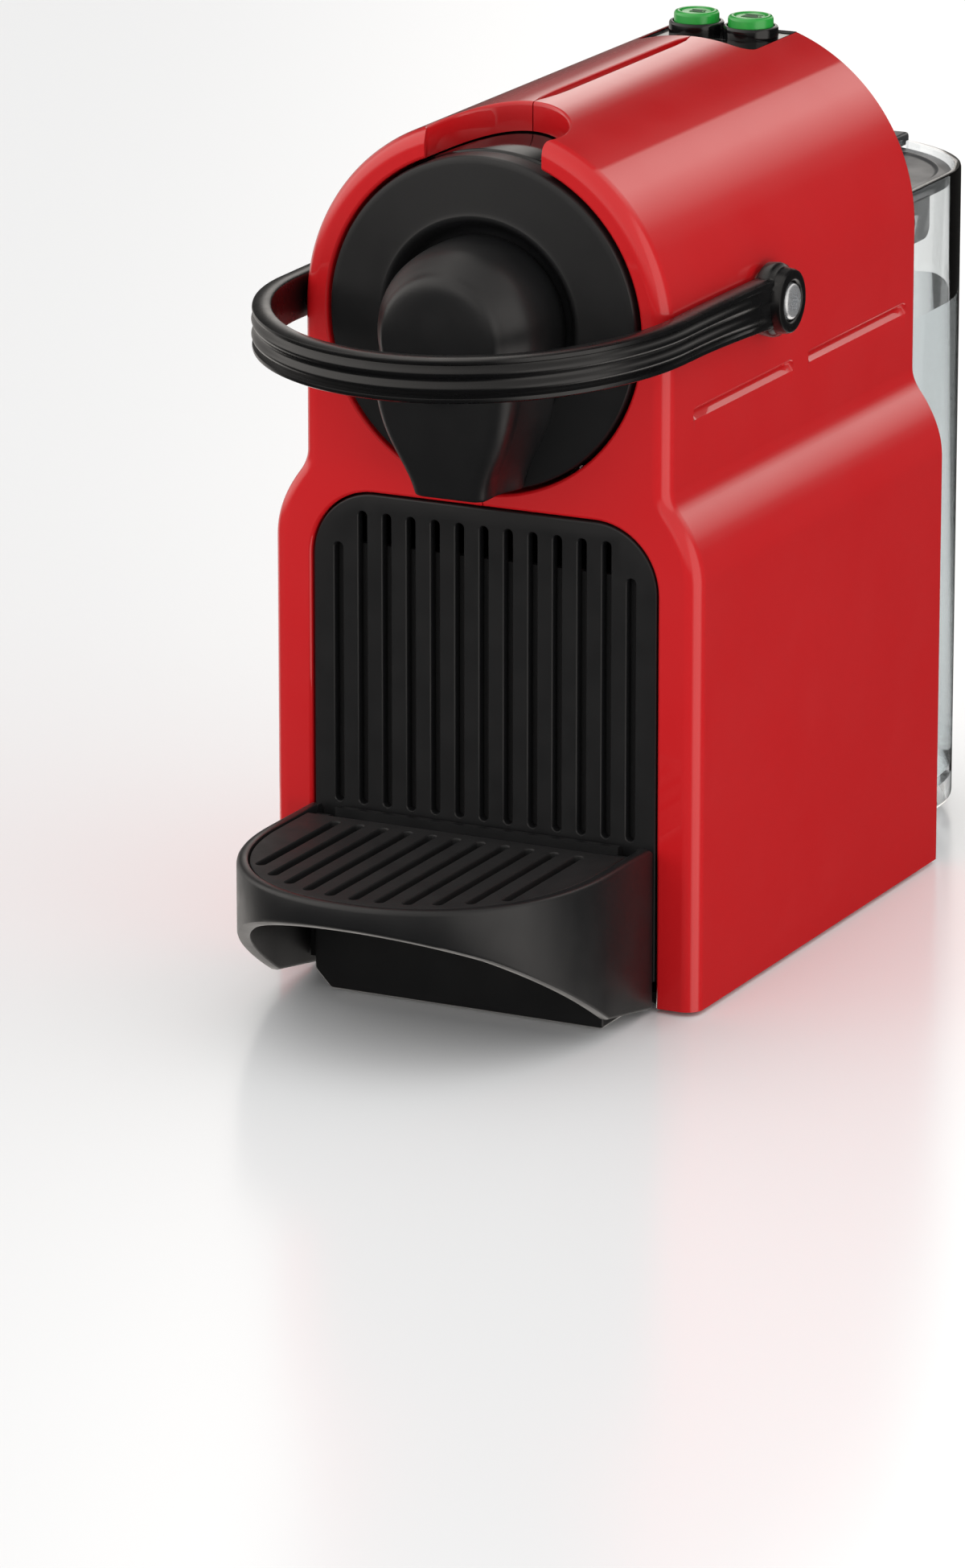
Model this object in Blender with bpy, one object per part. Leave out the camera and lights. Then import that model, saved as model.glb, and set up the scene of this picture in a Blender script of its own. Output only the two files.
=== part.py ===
"""Compact capsule espresso machine, built as an assembly of separate moulded and metal pieces.

Sizes below are in millimetres and are turned into metres by mm().  X runs to the right as the
machine is seen from the front, Y runs to the back and Z is up.  The origin is on the table, under
the middle of the machine.  Depths are measured back from the front face of the housing, which
stands at Y = FRONT.
"""

from math import cos, pi, radians, sin, sqrt

import bmesh
import bpy
from mathutils import Matrix, Vector

# ---- driving dimensions, millimetres ---------------------------------------------------------

GAP = 0.3                      # clearance kept between touching pieces

BODY_HALF = 60.0               # half the width of the lower body
HOOD_R = 51.1                  # half the width and arch radius of the upper body
ARCH_Z = 173.5                 # height of the arch's centre, and of the lever's pivot
DEPTH = 152.4                  # depth of the housing
FLARE_LOW = 111.8              # the body widens from FLARE_TOP down to FLARE_LOW
FLARE_TOP = 135.3
WALL = 2.6
EDGE_R = 4.5                   # rounding of the housing's front edge
HOUSING_BOTTOM = 1.2

TUNNEL_R = 43.6                # round opening for the brew head
TUNNEL_DEPTH = 29.0
DISC_R = 42.6

GRILLE_HALF = 48.2
GRILLE_TOP = 125.9
GRILLE_CORNER = 17.3
SLOT_PITCH = 6.85
SLOT_WIDTH = 2.4
SLOTS = 13

TRAY_HALF = 48.2
TRAY_TOP = 43.6
TRAY_REACH = 79.2              # how far the tray stands out in front
TRAY_BEND = 25.4               # where its straight sides turn into the round front
TRAY_WALL = 3.0
TRAY_HINGE_DEPTH = -6.0
TRAY_HINGE_Z = 38.6

LEVER_DEPTH = 56.8             # pivot of the lever, back from the front face
LEVER_HALF = 56.9              # half the width across its arms
LEVER_BAND = 5.2
LEVER_TALL = 11.4
LEVER_REACH = 60.4             # how far its round front stands out

TANK_HALF = 45.0
TANK_FRONT = 153.6
TANK_BEND = 189.4              # where its straight sides turn into the round back
TANK_ROUND = 39.1
TANK_WALL = 2.0
TANK_TOP = 179.0
LID_PIN_DEPTH = 166.5
LID_PIN_Z = 170.0

BUTTON_X = 7.8
BUTTON_DEPTH = 142.0
BUTTON_R = 6.0

CRANK = 12.0                   # from the lever's pivot to the pin that pushes the brew chamber

# Y of the housing's front face, which puts the origin midway between tray front and tank back
FRONT = (TRAY_REACH - TANK_BEND - TANK_ROUND) / 2


def mm(value):
    return value * 0.001


def at(x, depth, z):
    """A point given in millimetres, with its depth measured from the housing's front face."""
    return Vector((mm(x), mm(FRONT + depth), mm(z)))


# ---- materials ------------------------------------------------------------------------------

def material(name, colour, roughness, metallic=0.0, transmission=0.0):
    made = bpy.data.materials.new(name)
    made.use_nodes = True
    shader = made.node_tree.nodes["Principled BSDF"]
    shader.inputs["Base Color"].default_value = (*colour, 1.0)
    shader.inputs["Roughness"].default_value = roughness
    shader.inputs["Metallic"].default_value = metallic
    shader.inputs["Transmission Weight"].default_value = transmission
    return made


RED = ("gloss_red_plastic", (0.60, 0.012, 0.018), 0.12)
BLACK = ("satin_black_plastic", (0.012, 0.012, 0.013), 0.38)
GLOSS_BLACK = ("gloss_black_plastic", (0.010, 0.010, 0.011), 0.12)
MATT_BLACK = ("matt_black_plastic", (0.014, 0.014, 0.015), 0.6)
GREEN = ("green_button_plastic", (0.02, 0.36, 0.05), 0.3)
STEEL = ("zinc_plated_steel", (0.62, 0.62, 0.64), 0.28, 1.0)
CLEAR = ("clear_plastic", (0.93, 0.95, 0.96), 0.05, 0.0, 1.0)
LID_GREY = ("dark_grey_plastic", (0.06, 0.06, 0.065), 0.4)
RUBBER = ("black_rubber", (0.02, 0.02, 0.02), 0.85)
INNER = ("natural_nylon", (0.42, 0.41, 0.38), 0.55)
ALLOY = ("cast_aluminium", (0.55, 0.56, 0.57), 0.42, 1.0)
SILICONE = ("silicone_tube", (0.72, 0.72, 0.70), 0.5)
BOARD = ("circuit_board", (0.015, 0.16, 0.07), 0.45)


# ---- outlines --------------------------------------------------------------------------------

def arc(cx, cy, radius, start, end, steps, radius_y=None):
    """Points of an arc from start to end degrees, both ends included."""
    radius_y = radius if radius_y is None else radius_y
    turns = [radians(start + (end - start) * i / steps) for i in range(steps + 1)]
    return [(cx + radius * cos(t), cy + radius_y * sin(t)) for t in turns]


def circle(cx, cy, radius, steps=24):
    return arc(cx, cy, radius, 0, 360, steps)[:-1]


def round_box(x0, x1, y0, y1, radius, steps=4):
    """A rectangle with rounded corners."""
    return (arc(x1 - radius, y1 - radius, radius, 0, 90, steps)
            + arc(x0 + radius, y1 - radius, radius, 90, 180, steps)
            + arc(x0 + radius, y0 + radius, radius, 180, 270, steps)
            + arc(x1 - radius, y0 + radius, radius, 270, 360, steps))


def body_section(inset, side, bottom, top_steps=20):
    """Right half of the body's section (X, Z), pulled in by inset; side is its inner X."""
    half = BODY_HALF - inset
    points = [(side, bottom), (half, bottom)]
    for i in range(9):
        t = i / 8
        blend = t * t * (3 - 2 * t)
        x = BODY_HALF + (HOOD_R - BODY_HALF) * blend - inset
        points.append((x, FLARE_LOW + (FLARE_TOP - FLARE_LOW) * t))
    hood = arc(0, ARCH_Z, HOOD_R - inset, 0, 90, top_steps)
    points += [point for point in hood if point[0] > side + 0.5]
    points.append((side, ARCH_Z + sqrt((HOOD_R - inset) ** 2 - side ** 2)))
    return points


def whole_section(inset, bottom):
    right = body_section(inset, 0.0, bottom)[1:]
    left = [(-x, z) for x, z in reversed(right[:-1])]
    return right + left


def tray_plan(inset, back, steps=22):
    """The tray's D-shaped plan (X, depth), with a slightly squared round front."""
    half, reach, power = TRAY_HALF - inset, TRAY_REACH - TRAY_BEND - inset, 2.15
    points = [(half, back)]
    for i in range(steps + 1):
        t = pi * i / steps
        x = half * (1 if cos(t) > 0 else -1) * abs(cos(t)) ** (2 / power)
        points.append((x, -TRAY_BEND - reach * sin(t) ** (2 / power)))
    points.append((-half, back))
    return points[::-1]


def tank_plan(inset, front, steps=20):
    half, reach = TANK_HALF - inset, TANK_ROUND - inset
    return [(half, front)] + arc(0, TANK_BEND, half, 0, 180, steps, reach) + [(-half, front)]


def grille_plan(grow, bottom):
    half, top, radius = GRILLE_HALF + grow, GRILLE_TOP + grow, GRILLE_CORNER + grow
    return ([(half, bottom)] + arc(half - radius, top - radius, radius, 0, 90, 6)
            + arc(radius - half, top - radius, radius, 90, 180, 6) + [(-half, bottom)])


# ---- mesh making -----------------------------------------------------------------------------

def finish(bm, name, look, origin=None, sharp=35):
    """Turn a bmesh in world metres into a named object whose origin is at the given point."""
    bmesh.ops.remove_doubles(bm, verts=bm.verts, dist=1e-6)
    bmesh.ops.recalc_face_normals(bm, faces=bm.faces)
    mesh = bpy.data.meshes.new(name)
    bm.to_mesh(mesh)
    bm.free()
    made = bpy.data.objects.new(name, mesh)
    bpy.context.collection.objects.link(made)
    if look is not None:
        known = bpy.data.materials.get(look[0])
        mesh.materials.append(known or material(*look))
    if origin is not None:
        mesh.transform(Matrix.Translation(-origin))
        made.location = origin
    smooth(mesh, sharp)
    return made


def smooth(mesh, sharp=35):
    mesh.shade_smooth()
    mesh.set_sharp_from_angle(angle=radians(sharp))


def add_prism(bm, outline, axis, start, end):
    """Extrude an outline along x (outline holds depth, Z), y (X, Z) or z (X, depth)."""
    place = {"x": lambda a, b, c: at(c, a, b),
             "y": lambda a, b, c: at(a, c, b),
             "z": lambda a, b, c: at(a, b, c)}[axis]
    rings = [[bm.verts.new(place(a, b, c)) for a, b in outline] for c in (start, end)]
    bm.faces.new(rings[0])
    bm.faces.new(rings[1][::-1])
    count = len(outline)
    for i in range(count):
        j = (i + 1) % count
        bm.faces.new((rings[0][i], rings[0][j], rings[1][j], rings[1][i]))
    return rings


def prism(name, look, outline, axis, start, end, origin=None):
    bm = bmesh.new()
    add_prism(bm, outline, axis, start, end)
    return finish(bm, name, look, origin)


def block(name, look, x, depth, z, origin=None):
    outline = [(x[0], depth[0]), (x[1], depth[0]), (x[1], depth[1]), (x[0], depth[1])]
    return prism(name, look, outline, "z", z[0], z[1], origin)


def lathe(name, look, profile, axis, centre, steps=32, origin=None):
    """Turn a closed profile of (radius, position along the axis) about x, y or z.

    centre holds the axis line's two fixed coordinates, in the order X, depth, Z.
    """
    place = {"x": lambda r, a, t: at(a, centre[0] + r * cos(t), centre[1] + r * sin(t)),
             "y": lambda r, a, t: at(centre[0] + r * cos(t), a, centre[1] + r * sin(t)),
             "z": lambda r, a, t: at(centre[0] + r * cos(t), centre[1] + r * sin(t), a)}[axis]
    bm = bmesh.new()
    rows = []
    for radius, along in profile:
        if radius < 1e-6:
            rows.append([bm.verts.new(place(0, along, 0))] * steps)
        else:
            rows.append([bm.verts.new(place(radius, along, 2 * pi * i / steps))
                         for i in range(steps)])
    for first, second in zip(rows, rows[1:] + rows[:1]):
        for i in range(steps):
            j = (i + 1) % steps
            corners = []
            for vert in (first[i], first[j], second[j], second[i]):
                if vert not in corners:
                    corners.append(vert)
            if len(corners) > 2:
                bm.faces.new(corners)
    return finish(bm, name, look, origin)


def tube(name, look, points, radius, resolution=2):
    """A round hose along a smooth line through the given points."""
    curve = bpy.data.curves.new(name, "CURVE")
    curve.dimensions = "3D"
    curve.bevel_depth = mm(radius)
    curve.bevel_resolution = resolution
    curve.use_fill_caps = True
    spline = curve.splines.new("POLY")
    path = smooth_path([at(*point) for point in points], 3)
    spline.points.add(len(path) - 1)
    for target, point in zip(spline.points, path):
        target.co = (*point, 1.0)
    made = bpy.data.objects.new(name, curve)
    bpy.context.collection.objects.link(made)
    curve.materials.append(bpy.data.materials.get(look[0]) or material(*look))
    return made


def smooth_path(points, between):
    """Catmull-Rom points through the given ones."""
    ends = [points[0] * 2 - points[1]] + points + [points[-1] * 2 - points[-2]]
    path = []
    for a, b, c, d in zip(ends, ends[1:], ends[2:], ends[3:]):
        for i in range(between):
            t = i / between
            path.append(0.5 * (2 * b + (c - a) * t + (2 * a - 5 * b + 4 * c - d) * t ** 2
                               + (3 * b - a - 3 * c + d) * t ** 3))
    return path + [points[-1]]


def combine(target, tool, operation):
    """Join a second shape to the target, or cut it away, and drop the second shape."""
    change = target.modifiers.new(operation.lower(), "BOOLEAN")
    change.operation = operation
    change.object = tool
    change.solver = "EXACT"
    shown = target.evaluated_get(bpy.context.evaluated_depsgraph_get())
    result = bpy.data.meshes.new_from_object(shown)
    target.modifiers.clear()
    old, target.data = target.data, result
    bpy.data.meshes.remove(old)
    bpy.data.objects.remove(tool)
    smooth(result)
    return target


def cut(target, tool):
    return combine(target, tool, "DIFFERENCE")


def weld(target, tool):
    return combine(target, tool, "UNION")


def mirrored(source, name):
    """The left-hand copy of a right-hand piece."""
    bm = bmesh.new()
    bm.from_mesh(source.data)
    bm.transform(Matrix.Scale(-1, 4, Vector((1, 0, 0))))
    bmesh.ops.reverse_faces(bm, faces=bm.faces)
    mesh = bpy.data.meshes.new(name)
    bm.to_mesh(mesh)
    bm.free()
    smooth(mesh)
    made = bpy.data.objects.new(name, mesh)
    bpy.context.collection.objects.link(made)
    made.location = Vector((-source.location.x, source.location.y, source.location.z))
    return made


# ---- housing ---------------------------------------------------------------------------------

def notch_plan(grow):
    """Plan of the capsule slot: straight sides and a half-round back."""
    half, straight, back = 16.7 + grow, 8.1, 20.3 + grow
    return [(half, -8)] + arc(0, straight, half, 0, 180, 12, back) + [(-half, -8)]


def make_housing():
    bm = bmesh.new()
    outline = body_section(0, GAP / 2, HOUSING_BOTTOM)
    rings = add_prism(bm, outline, "y", 0, DEPTH)
    front = rings[0]
    edges = [edge for edge in bm.edges
             if edge.verts[0] in front and edge.verts[1] in front
             and max(v.co.x for v in edge.verts) > mm(1)
             and max(v.co.z for v in edge.verts) > mm(5)]
    bmesh.ops.recalc_face_normals(bm, faces=bm.faces)
    bmesh.ops.bevel(bm, geom=edges, offset=mm(EDGE_R), segments=3, profile=0.5,
                    affect="EDGES", clamp_overlap=False)
    right = finish(bm, "housing_right", RED)
    low = [(x, z) for x, z in body_section(WALL + 0.1, -2.0, -5.0) if z < 128]
    cut(right, prism("cut", None, low + [(-2.0, 127.9)], "y", WALL, TUNNEL_DEPTH + 1))
    cut(right, prism("cut", None, body_section(WALL, -2.0, -5.0), "y",
                     TUNNEL_DEPTH, DEPTH + 5))
    cut(right, prism("cut", None, circle(0, ARCH_Z, TUNNEL_R, 48), "y", -5, TUNNEL_DEPTH + 1))
    cut(right, prism("cut", None, grille_plan(0.5, -5), "y", -5, WALL + 2))
    cut(right, prism("cut", None, notch_plan(0), "z", 190, 240))
    cut(right, prism("cut", None, round_box(-1.6, 1.6, 33, 120, 1.5), "z", 223.0, 230))
    cut(right, prism("cut", None, panel_plan(0.4, 5.4), "z", 200, 240))
    cut(right, prism("cut", None, circle(LEVER_DEPTH, ARCH_Z, 7.4, 24), "x", 40, 70))
    for start, end in ((15.8, 74.7), (85.2, 146.0)):
        wedge = [(HOOD_R + 2, 152.6), (HOOD_R - 1.7, 152.6), (HOOD_R - 1.7, 151.6),
                 (HOOD_R + 2, 144.6)]
        cut(right, prism("cut", None, wedge, "y", start, end))
    mirrored(right, "housing_left")


def panel_plan(grow, rear):
    """Plan of the button panel on the hood's top rear."""
    half, front = 16.3 + grow, 122.0 - grow
    return ([(half, DEPTH + rear)] + arc(half - 5, front + 5, 5, 0, -90, 4)
            + arc(5 - half, front + 5, 5, 270, 180, 4) + [(-half, DEPTH + rear)])


def make_rear_panel():
    panel = prism("rear_panel", MATT_BLACK, whole_section(WALL + GAP, 5.2), "y", 149.2, 152.0)
    under_buttons = arc(0, ARCH_Z, HOOD_R - 5.5, 67, 113, 8) + [(-18, 240), (18, 240)]
    cut(panel, prism("cut", None, under_buttons, "y", 140, 160))
    cut(panel, prism("cut", None, circle(51.9, 14, 5.3, 16), "y", 140, 160))
    cut(panel, prism("cut", None, round_box(-20, 20, 12, 22, 3), "y", 140, 160))
    gland = [(3.3, 144), (5.0, 144), (5.0, 152.7), (6.4, 152.7), (6.4, 154.4), (5.0, 155.2),
             (4.6, 160.0), (3.3, 160.0)]
    lathe("cable_inlet", RUBBER, gland, "y", (51.9, 14), 16)


def make_base():
    block("base_plate", MATT_BLACK, (-56.8, 56.8), (3.2, 148.8), (2.4, 4.4))
    for x in (-48, 48):
        for depth, place in ((12, "front"), (140, "rear")):
            side = "left" if x < 0 else "right"
            foot = [(0, 0), (6.0, 0), (6.6, 0.6), (6.6, 2.1), (0, 2.1)]
            lathe(f"foot_{place}_{side}", RUBBER, foot, "z", (x, depth), 16)
    dock_plan = [(34, 153.2)] + arc(0, 183, 34, 0, 180, 12, 28) + [(-34, 153.2)]
    dock = prism("tank_dock", MATT_BLACK, dock_plan, "z", 2.4, 8.4)
    cut(dock, prism("cut", None, circle(0, 170, 8.2, 20), "z", 4.4, 20))
    tongue = block("tongue", None, (-19, 19), (147, 156), (13, 20.5))
    neck = block("neck", None, (-19, 19), (153.4, 156), (5, 18))
    weld(weld(dock, neck), tongue)
    for x, side in ((-22, "left"), (22, "right")):
        foot = [(0, 0), (5.0, 0), (5.6, 0.6), (5.6, 2.1), (0, 2.1)]
        lathe(f"foot_dock_{side}", RUBBER, foot, "z", (x, 198), 16)


# ---- brew head -------------------------------------------------------------------------------

def disc_profile(grow=0.0):
    """Front disc: a flat ring that rises to a crest and dips to the dome's foot."""
    return [(20.4 - grow, 6.0 + grow), (20.4 - grow, 2.2 - grow), (24.0, 1.6 - grow),
            (26.3, -1.6 - grow), (27.4, -2.2 - grow), (28.8, -2.0 - grow),
            (41.6, -0.7 - grow), (DISC_R, 0.3 - grow), (DISC_R, 6.0 + grow)]


def make_brew_head():
    lathe("front_disc", BLACK, disc_profile(), "y", (0, ARCH_Z), 40)
    dome = [(0, 12), (19.6, 12), (19.6, 1.8), (22.6, 1.0), (22.8, -12), (21.8, -17.5),
            (19.4, -21.4), (15.8, -23.6), (10, -24.5), (0, -24.8)]
    head = lathe("coffee_outlet", BLACK, dome, "y", (0, ARCH_Z), 32)
    weld(head, make_spout())
    cut(head, lathe("cut", None, disc_profile(GAP), "y", (0, ARCH_Z), 40))
    hollow = [(0, 20), (16.5, 20), (16.5, -10), (12, -17), (0, -19)]
    cut(head, lathe("cut", None, hollow, "y", (0, ARCH_Z), 20))
    cut(head, block("cut", None, (-7.2, 7.2), (-16.5, -4.5), (120, 160)))
    nozzle = [(3.2, 127.6), (5.2, 127.6), (5.6, 131), (5.6, 146), (3.2, 146)]
    lathe("outlet_nozzle", GLOSS_BLACK, nozzle, "z", (0, -10.5), 16)
    plate = [(0, 14.2), (18.5, 14.2), (18.5, 20.5), (15, 20.5), (15, 18.4), (0, 18.4)]
    lathe("needle_plate", ALLOY, plate, "y", (0, ARCH_Z), 24)


def make_spout():
    """The shroud under the dome: a tapering box with rounded front corners."""
    bm = bmesh.new()
    rows = []
    for z, half, front in ((163.0, 22.4, -24.0), (150.0, 21.6, -23.4), (142.0, 17.4, -21.8),
                           (135.5, 12.2, -19.8), (130.6, 10.4, -18.3)):
        plan = [(half, -1.0)] + arc(half - 4, front + 4, 4, 0, -90, 3)
        plan += arc(4 - half, front + 4, 4, 270, 180, 3) + [(-half, -1.0)]
        rows.append([bm.verts.new(at(x, depth, z)) for x, depth in plan])
    for low, high in zip(rows, rows[1:]):
        for i in range(len(low)):
            j = (i + 1) % len(low)
            bm.faces.new((low[i], low[j], high[j], high[i]))
    bm.faces.new(rows[0])
    bm.faces.new(rows[-1][::-1])
    return finish(bm, "spout", None)


def make_brew_unit():
    frame = block("brew_frame", INNER, (-41, 41), (31, 128), (141.0, 143.4))
    for x in (-41, 38.6):
        wall = prism("wall", None, [(31, 142), (128, 142), (128, 190), (112, 196), (31, 196)],
                     "x", x, x + 2.4)
        weld(frame, wall)
    rear = block("rear", None, (-40, 40), (122, 125), (142, 186))
    weld(frame, rear)
    cut(frame, prism("cut", None, circle(LEVER_DEPTH, ARCH_Z, 5.4, 20), "x", -60, 60))
    cut(frame, block("cut", None, (-22, 22), (30, 68), (130, 150)))

    cage = [(0, 68), (0, 84), (17.5, 84), (17.5, 48), (15.0, 42), (13.2, 42), (14.6, 48),
            (14.6, 68)]
    chamber = lathe("brew_chamber", ALLOY, cage, "y", (0, ARCH_Z), 24)
    yoke = block("yoke", None, (-33, 33), (76, 82), (166, 181))
    weld(chamber, yoke)
    for x in (-33, 29.5):
        arm = prism("arm", None, round_box(45, 84, 155, 192, 4), "x", x, x + 3.5)
        weld(chamber, arm)
    for low, high in ((-60, -26), (26, 60)):
        pin_slot = round_box(44.2, 50.9, 158.5, 188.5, 2.6)
        cut(chamber, prism("cut", None, pin_slot, "x", low, high))
    cut(chamber, lathe("cut", None, [(0, 30), (14.6, 30), (14.6, 68), (0, 68)], "y",
                       (0, ARCH_Z), 24))

    bm = bmesh.new()
    outer = arc(0, ARCH_Z, TUNNEL_R - 0.5, 58, 122, 16)
    inner = arc(0, ARCH_Z, TUNNEL_R - 2.9, 122, 58, 16)
    add_prism(bm, outer + inner, "y", 6.4, 41)
    shutter = finish(bm, "capsule_shutter", GLOSS_BLACK)
    leg = block("leg", None, (-10, 10), (37.5, 41), (196, 215))
    bar = block("bar", None, (-10, 10), (37.5, 66), (193, 196.5))
    weld(weld(shutter, leg), bar)


# ---- lever -----------------------------------------------------------------------------------

def lever_plan(inset, steps):
    """Half-round front of the lever's band, with arms that run back to the pivot."""
    half, reach = LEVER_HALF - inset, LEVER_REACH - inset
    return [(-x, -depth) for x, depth in arc(0, 0, half, 0, 180, steps, reach)]


def make_lever():
    pivot = at(0, LEVER_DEPTH, ARCH_Z)
    bm = bmesh.new()
    steps = 28
    half_tall = LEVER_TALL / 2
    corner = 0.9
    section = ((half_tall, corner), (half_tall - corner, 0), (corner - half_tall, 0),
               (-half_tall, corner), (-half_tall, LEVER_BAND), (half_tall, LEVER_BAND))
    rings = []
    for z, inset in section:
        plan = lever_plan(inset, steps)
        arm = [(side * (LEVER_HALF - inset), depth) for side, depth in ((-1, 52), (-1, 26))]
        plan = arm + plan + [(-x, depth) for x, depth in reversed(arm)]
        rings.append([at(x, depth, ARCH_Z + z + lift(depth)) for x, depth in plan])
    columns = [[bm.verts.new(rings[k][i]) for k in range(len(rings))]
               for i in range(len(rings[0]))]
    for first, second in zip(columns, columns[1:]):
        for k in range(len(first)):
            m = (k + 1) % len(first)
            bm.faces.new((first[k], first[m], second[m], second[k]))
    bm.faces.new(columns[0][::-1])
    bm.faces.new(columns[-1])
    lever = finish(bm, "lever", BLACK)
    for side in (-1, 1):
        inner, outer = 51.8 * side, 59.4 * side
        boss = [(0, inner), (9.4, inner), (9.6, 55.2 * side), (8.4, 56.2 * side),
                (8.2, 58.6 * side), (7.4, outer), (0, outer)]
        weld(lever, lathe("boss", None, boss, "x", (LEVER_DEPTH, ARCH_Z), 24))
        hub = [(0, 52 * side), (6.0, 52 * side), (6.0, 46 * side), (4.9, 46 * side),
               (4.9, 35 * side), (0, 35 * side)]
        weld(lever, lathe("hub", None, hub, "x", (LEVER_DEPTH, ARCH_Z), 20))
        crank = [(LEVER_DEPTH - 9.4, ARCH_Z + 7.4), (LEVER_DEPTH - 5, ARCH_Z - 2),
                 (LEVER_DEPTH, ARCH_Z - 5), (LEVER_DEPTH + 4.5, ARCH_Z),
                 (LEVER_DEPTH - 3, ARCH_Z + 11.0), (LEVER_DEPTH - 7.4, ARCH_Z + 11.4)]
        weld(lever, prism("crank", None, crank, "x", 37.8 * side, 34.2 * side))
        pin = [(0, 36 * side), (2.0, 36 * side), (2.0, 30.2 * side), (0, 30.2 * side)]
        centre = (LEVER_DEPTH - CRANK * sin(radians(52)), ARCH_Z + CRANK * cos(radians(52)))
        weld(lever, lathe("pin", None, pin, "x", centre, 12))
        socket = [(0, 60 * side), (5.1, 60 * side), (5.1, 57.6 * side), (2.2, 57.6 * side),
                  (2.2, 46 * side), (0, 46 * side)]
        cut(lever, lathe("cut", None, socket, "x", (LEVER_DEPTH, ARCH_Z), 20))
    lever.data.transform(Matrix.Translation(-pivot))
    lever.location = pivot
    for side, word in ((-1, "left"), (1, "right")):
        head = [(0, 46.4), (1.9, 46.4), (1.9, 57.9), (4.7, 57.9), (4.7, 59.2), (4.1, 59.8),
                (2.6, 59.8), (2.2, 58.9), (0, 58.9)]
        head = [(r, side * a) for r, a in head]
        lathe(f"pivot_screw_{word}", STEEL, head, "x", (LEVER_DEPTH, ARCH_Z), 20, pivot)
        bush = [(6.4, 46.0), (7.1, 46.0), (7.1, 51.4), (6.4, 51.4)]
        bush = [(r, side * a) for r, a in bush]
        lathe(f"pivot_bush_{word}", INNER, bush, "x", (LEVER_DEPTH, ARCH_Z), 16)


def lift(depth):
    """The arms bow up a little between the pivot and the front."""
    t = (LEVER_DEPTH - depth) / (LEVER_DEPTH + LEVER_REACH)
    return 1.6 * sin(pi * min(max(t, 0), 1)) - 0.8 * t


# ---- buttons ---------------------------------------------------------------------------------

def make_buttons():
    panel = prism("button_panel", GLOSS_BLACK, panel_plan(0, 0), "z", 205, 240)
    ring = circle(0, ARCH_Z, HOOD_R - 0.2, 96)
    inside = prism("inside", None, ring, "y", 100, 170)
    combine(panel, inside, "INTERSECT")
    for x in (-BUTTON_X, BUTTON_X):
        collar = [(0, 210), (7.3, 210), (7.3, 224.6), (6.9, 225.2), (0, 225.2)]
        weld(panel, lathe("collar", None, collar, "z", (x, BUTTON_DEPTH), 24))
    cut(panel, prism("cut", None, circle(0, ARCH_Z, HOOD_R - 3.4, 64), "y", 100, 170))
    for x, name in ((-BUTTON_X, "button_espresso"), (BUTTON_X, "button_lungo")):
        bore = circle(x, BUTTON_DEPTH, BUTTON_R + 0.4, 22)
        cut(panel, prism("cut", None, bore, "z", 200, 240))
        cap = [(0, 213.4), (2.0, 213.4), (2.0, 219.8), (BUTTON_R, 219.8), (BUTTON_R, 226.6),
               (BUTTON_R - 0.7, 227.3), (4.2, 227.3), (3.9, 226.9), (0, 226.9)]
        lathe(name, GREEN, cap, "z", (x, BUTTON_DEPTH), 20, at(x, BUTTON_DEPTH, 220))
    board = block("control_board", BOARD, (-17, 17), (126, 148.6), (207.4, 209.0))
    for x in (-BUTTON_X, BUTTON_X):
        switch = block("switch", None, (x - 3, x + 3), (BUTTON_DEPTH - 3, BUTTON_DEPTH + 3),
                       (208.5, 211.4))
        weld(board, switch)


# ---- tray, grille and container --------------------------------------------------------------

def slot(x, low, high):
    half = SLOT_WIDTH / 2
    return (arc(x, high - half, half, 0, 180, 5) + arc(x, low + half, half, 180, 360, 5))


def make_service_unit():
    grille = prism("grille_panel", BLACK, grille_plan(0, 8), "y", 0.6, 3.2)
    bm = bmesh.new()
    middle = SLOTS // 2
    for k in range(-middle, middle + 1):
        top = 112.3 if abs(k) == middle else 121.1
        add_prism(bm, slot(k * SLOT_PITCH, 44, top), "y", -1, 5)
    cut(grille, finish(bm, "slots", None))

    box = block("capsule_container", MATT_BLACK, (-44, 44), (3.6, 91), (7.2, 112))
    cut(box, block("cut", None, (-42, 42), (5.6, 89), (9.2, 120)))

    nose = [(-37.0, 6.0), (-32.5, 1.2), (44.4, 1.2), (44.4, 30.6), (-37.0, 30.6)]
    collector = prism("drip_collector", BLACK, nose, "y", -21.6, 0.2)
    cut(collector, block("cut", None, (-34.6, 42), (-19.2, -2.0), (6, 40)))
    weld(collector, block("floor", None, (-44, 44), (-0.4, 91), (4.8, 6.9)))
    for x in (-44.4, 40.6):
        ear = arc(TRAY_HINGE_DEPTH, TRAY_HINGE_Z, 3.4, 0, 180, 8)
        ear += [(TRAY_HINGE_DEPTH - 3.4, 5), (TRAY_HINGE_DEPTH + 3.4, 5)]
        weld(collector, prism("ear", None, ear, "x", x, x + 3.8))
        rib = block("rib", None, (x, x + 3.8), (TRAY_HINGE_DEPTH, 0.2), (4.8, 20))
        weld(collector, rib)
    cut(collector, prism("cut", None, circle(TRAY_HINGE_DEPTH, TRAY_HINGE_Z, 2.4, 12), "x",
                         -50, 50))


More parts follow.
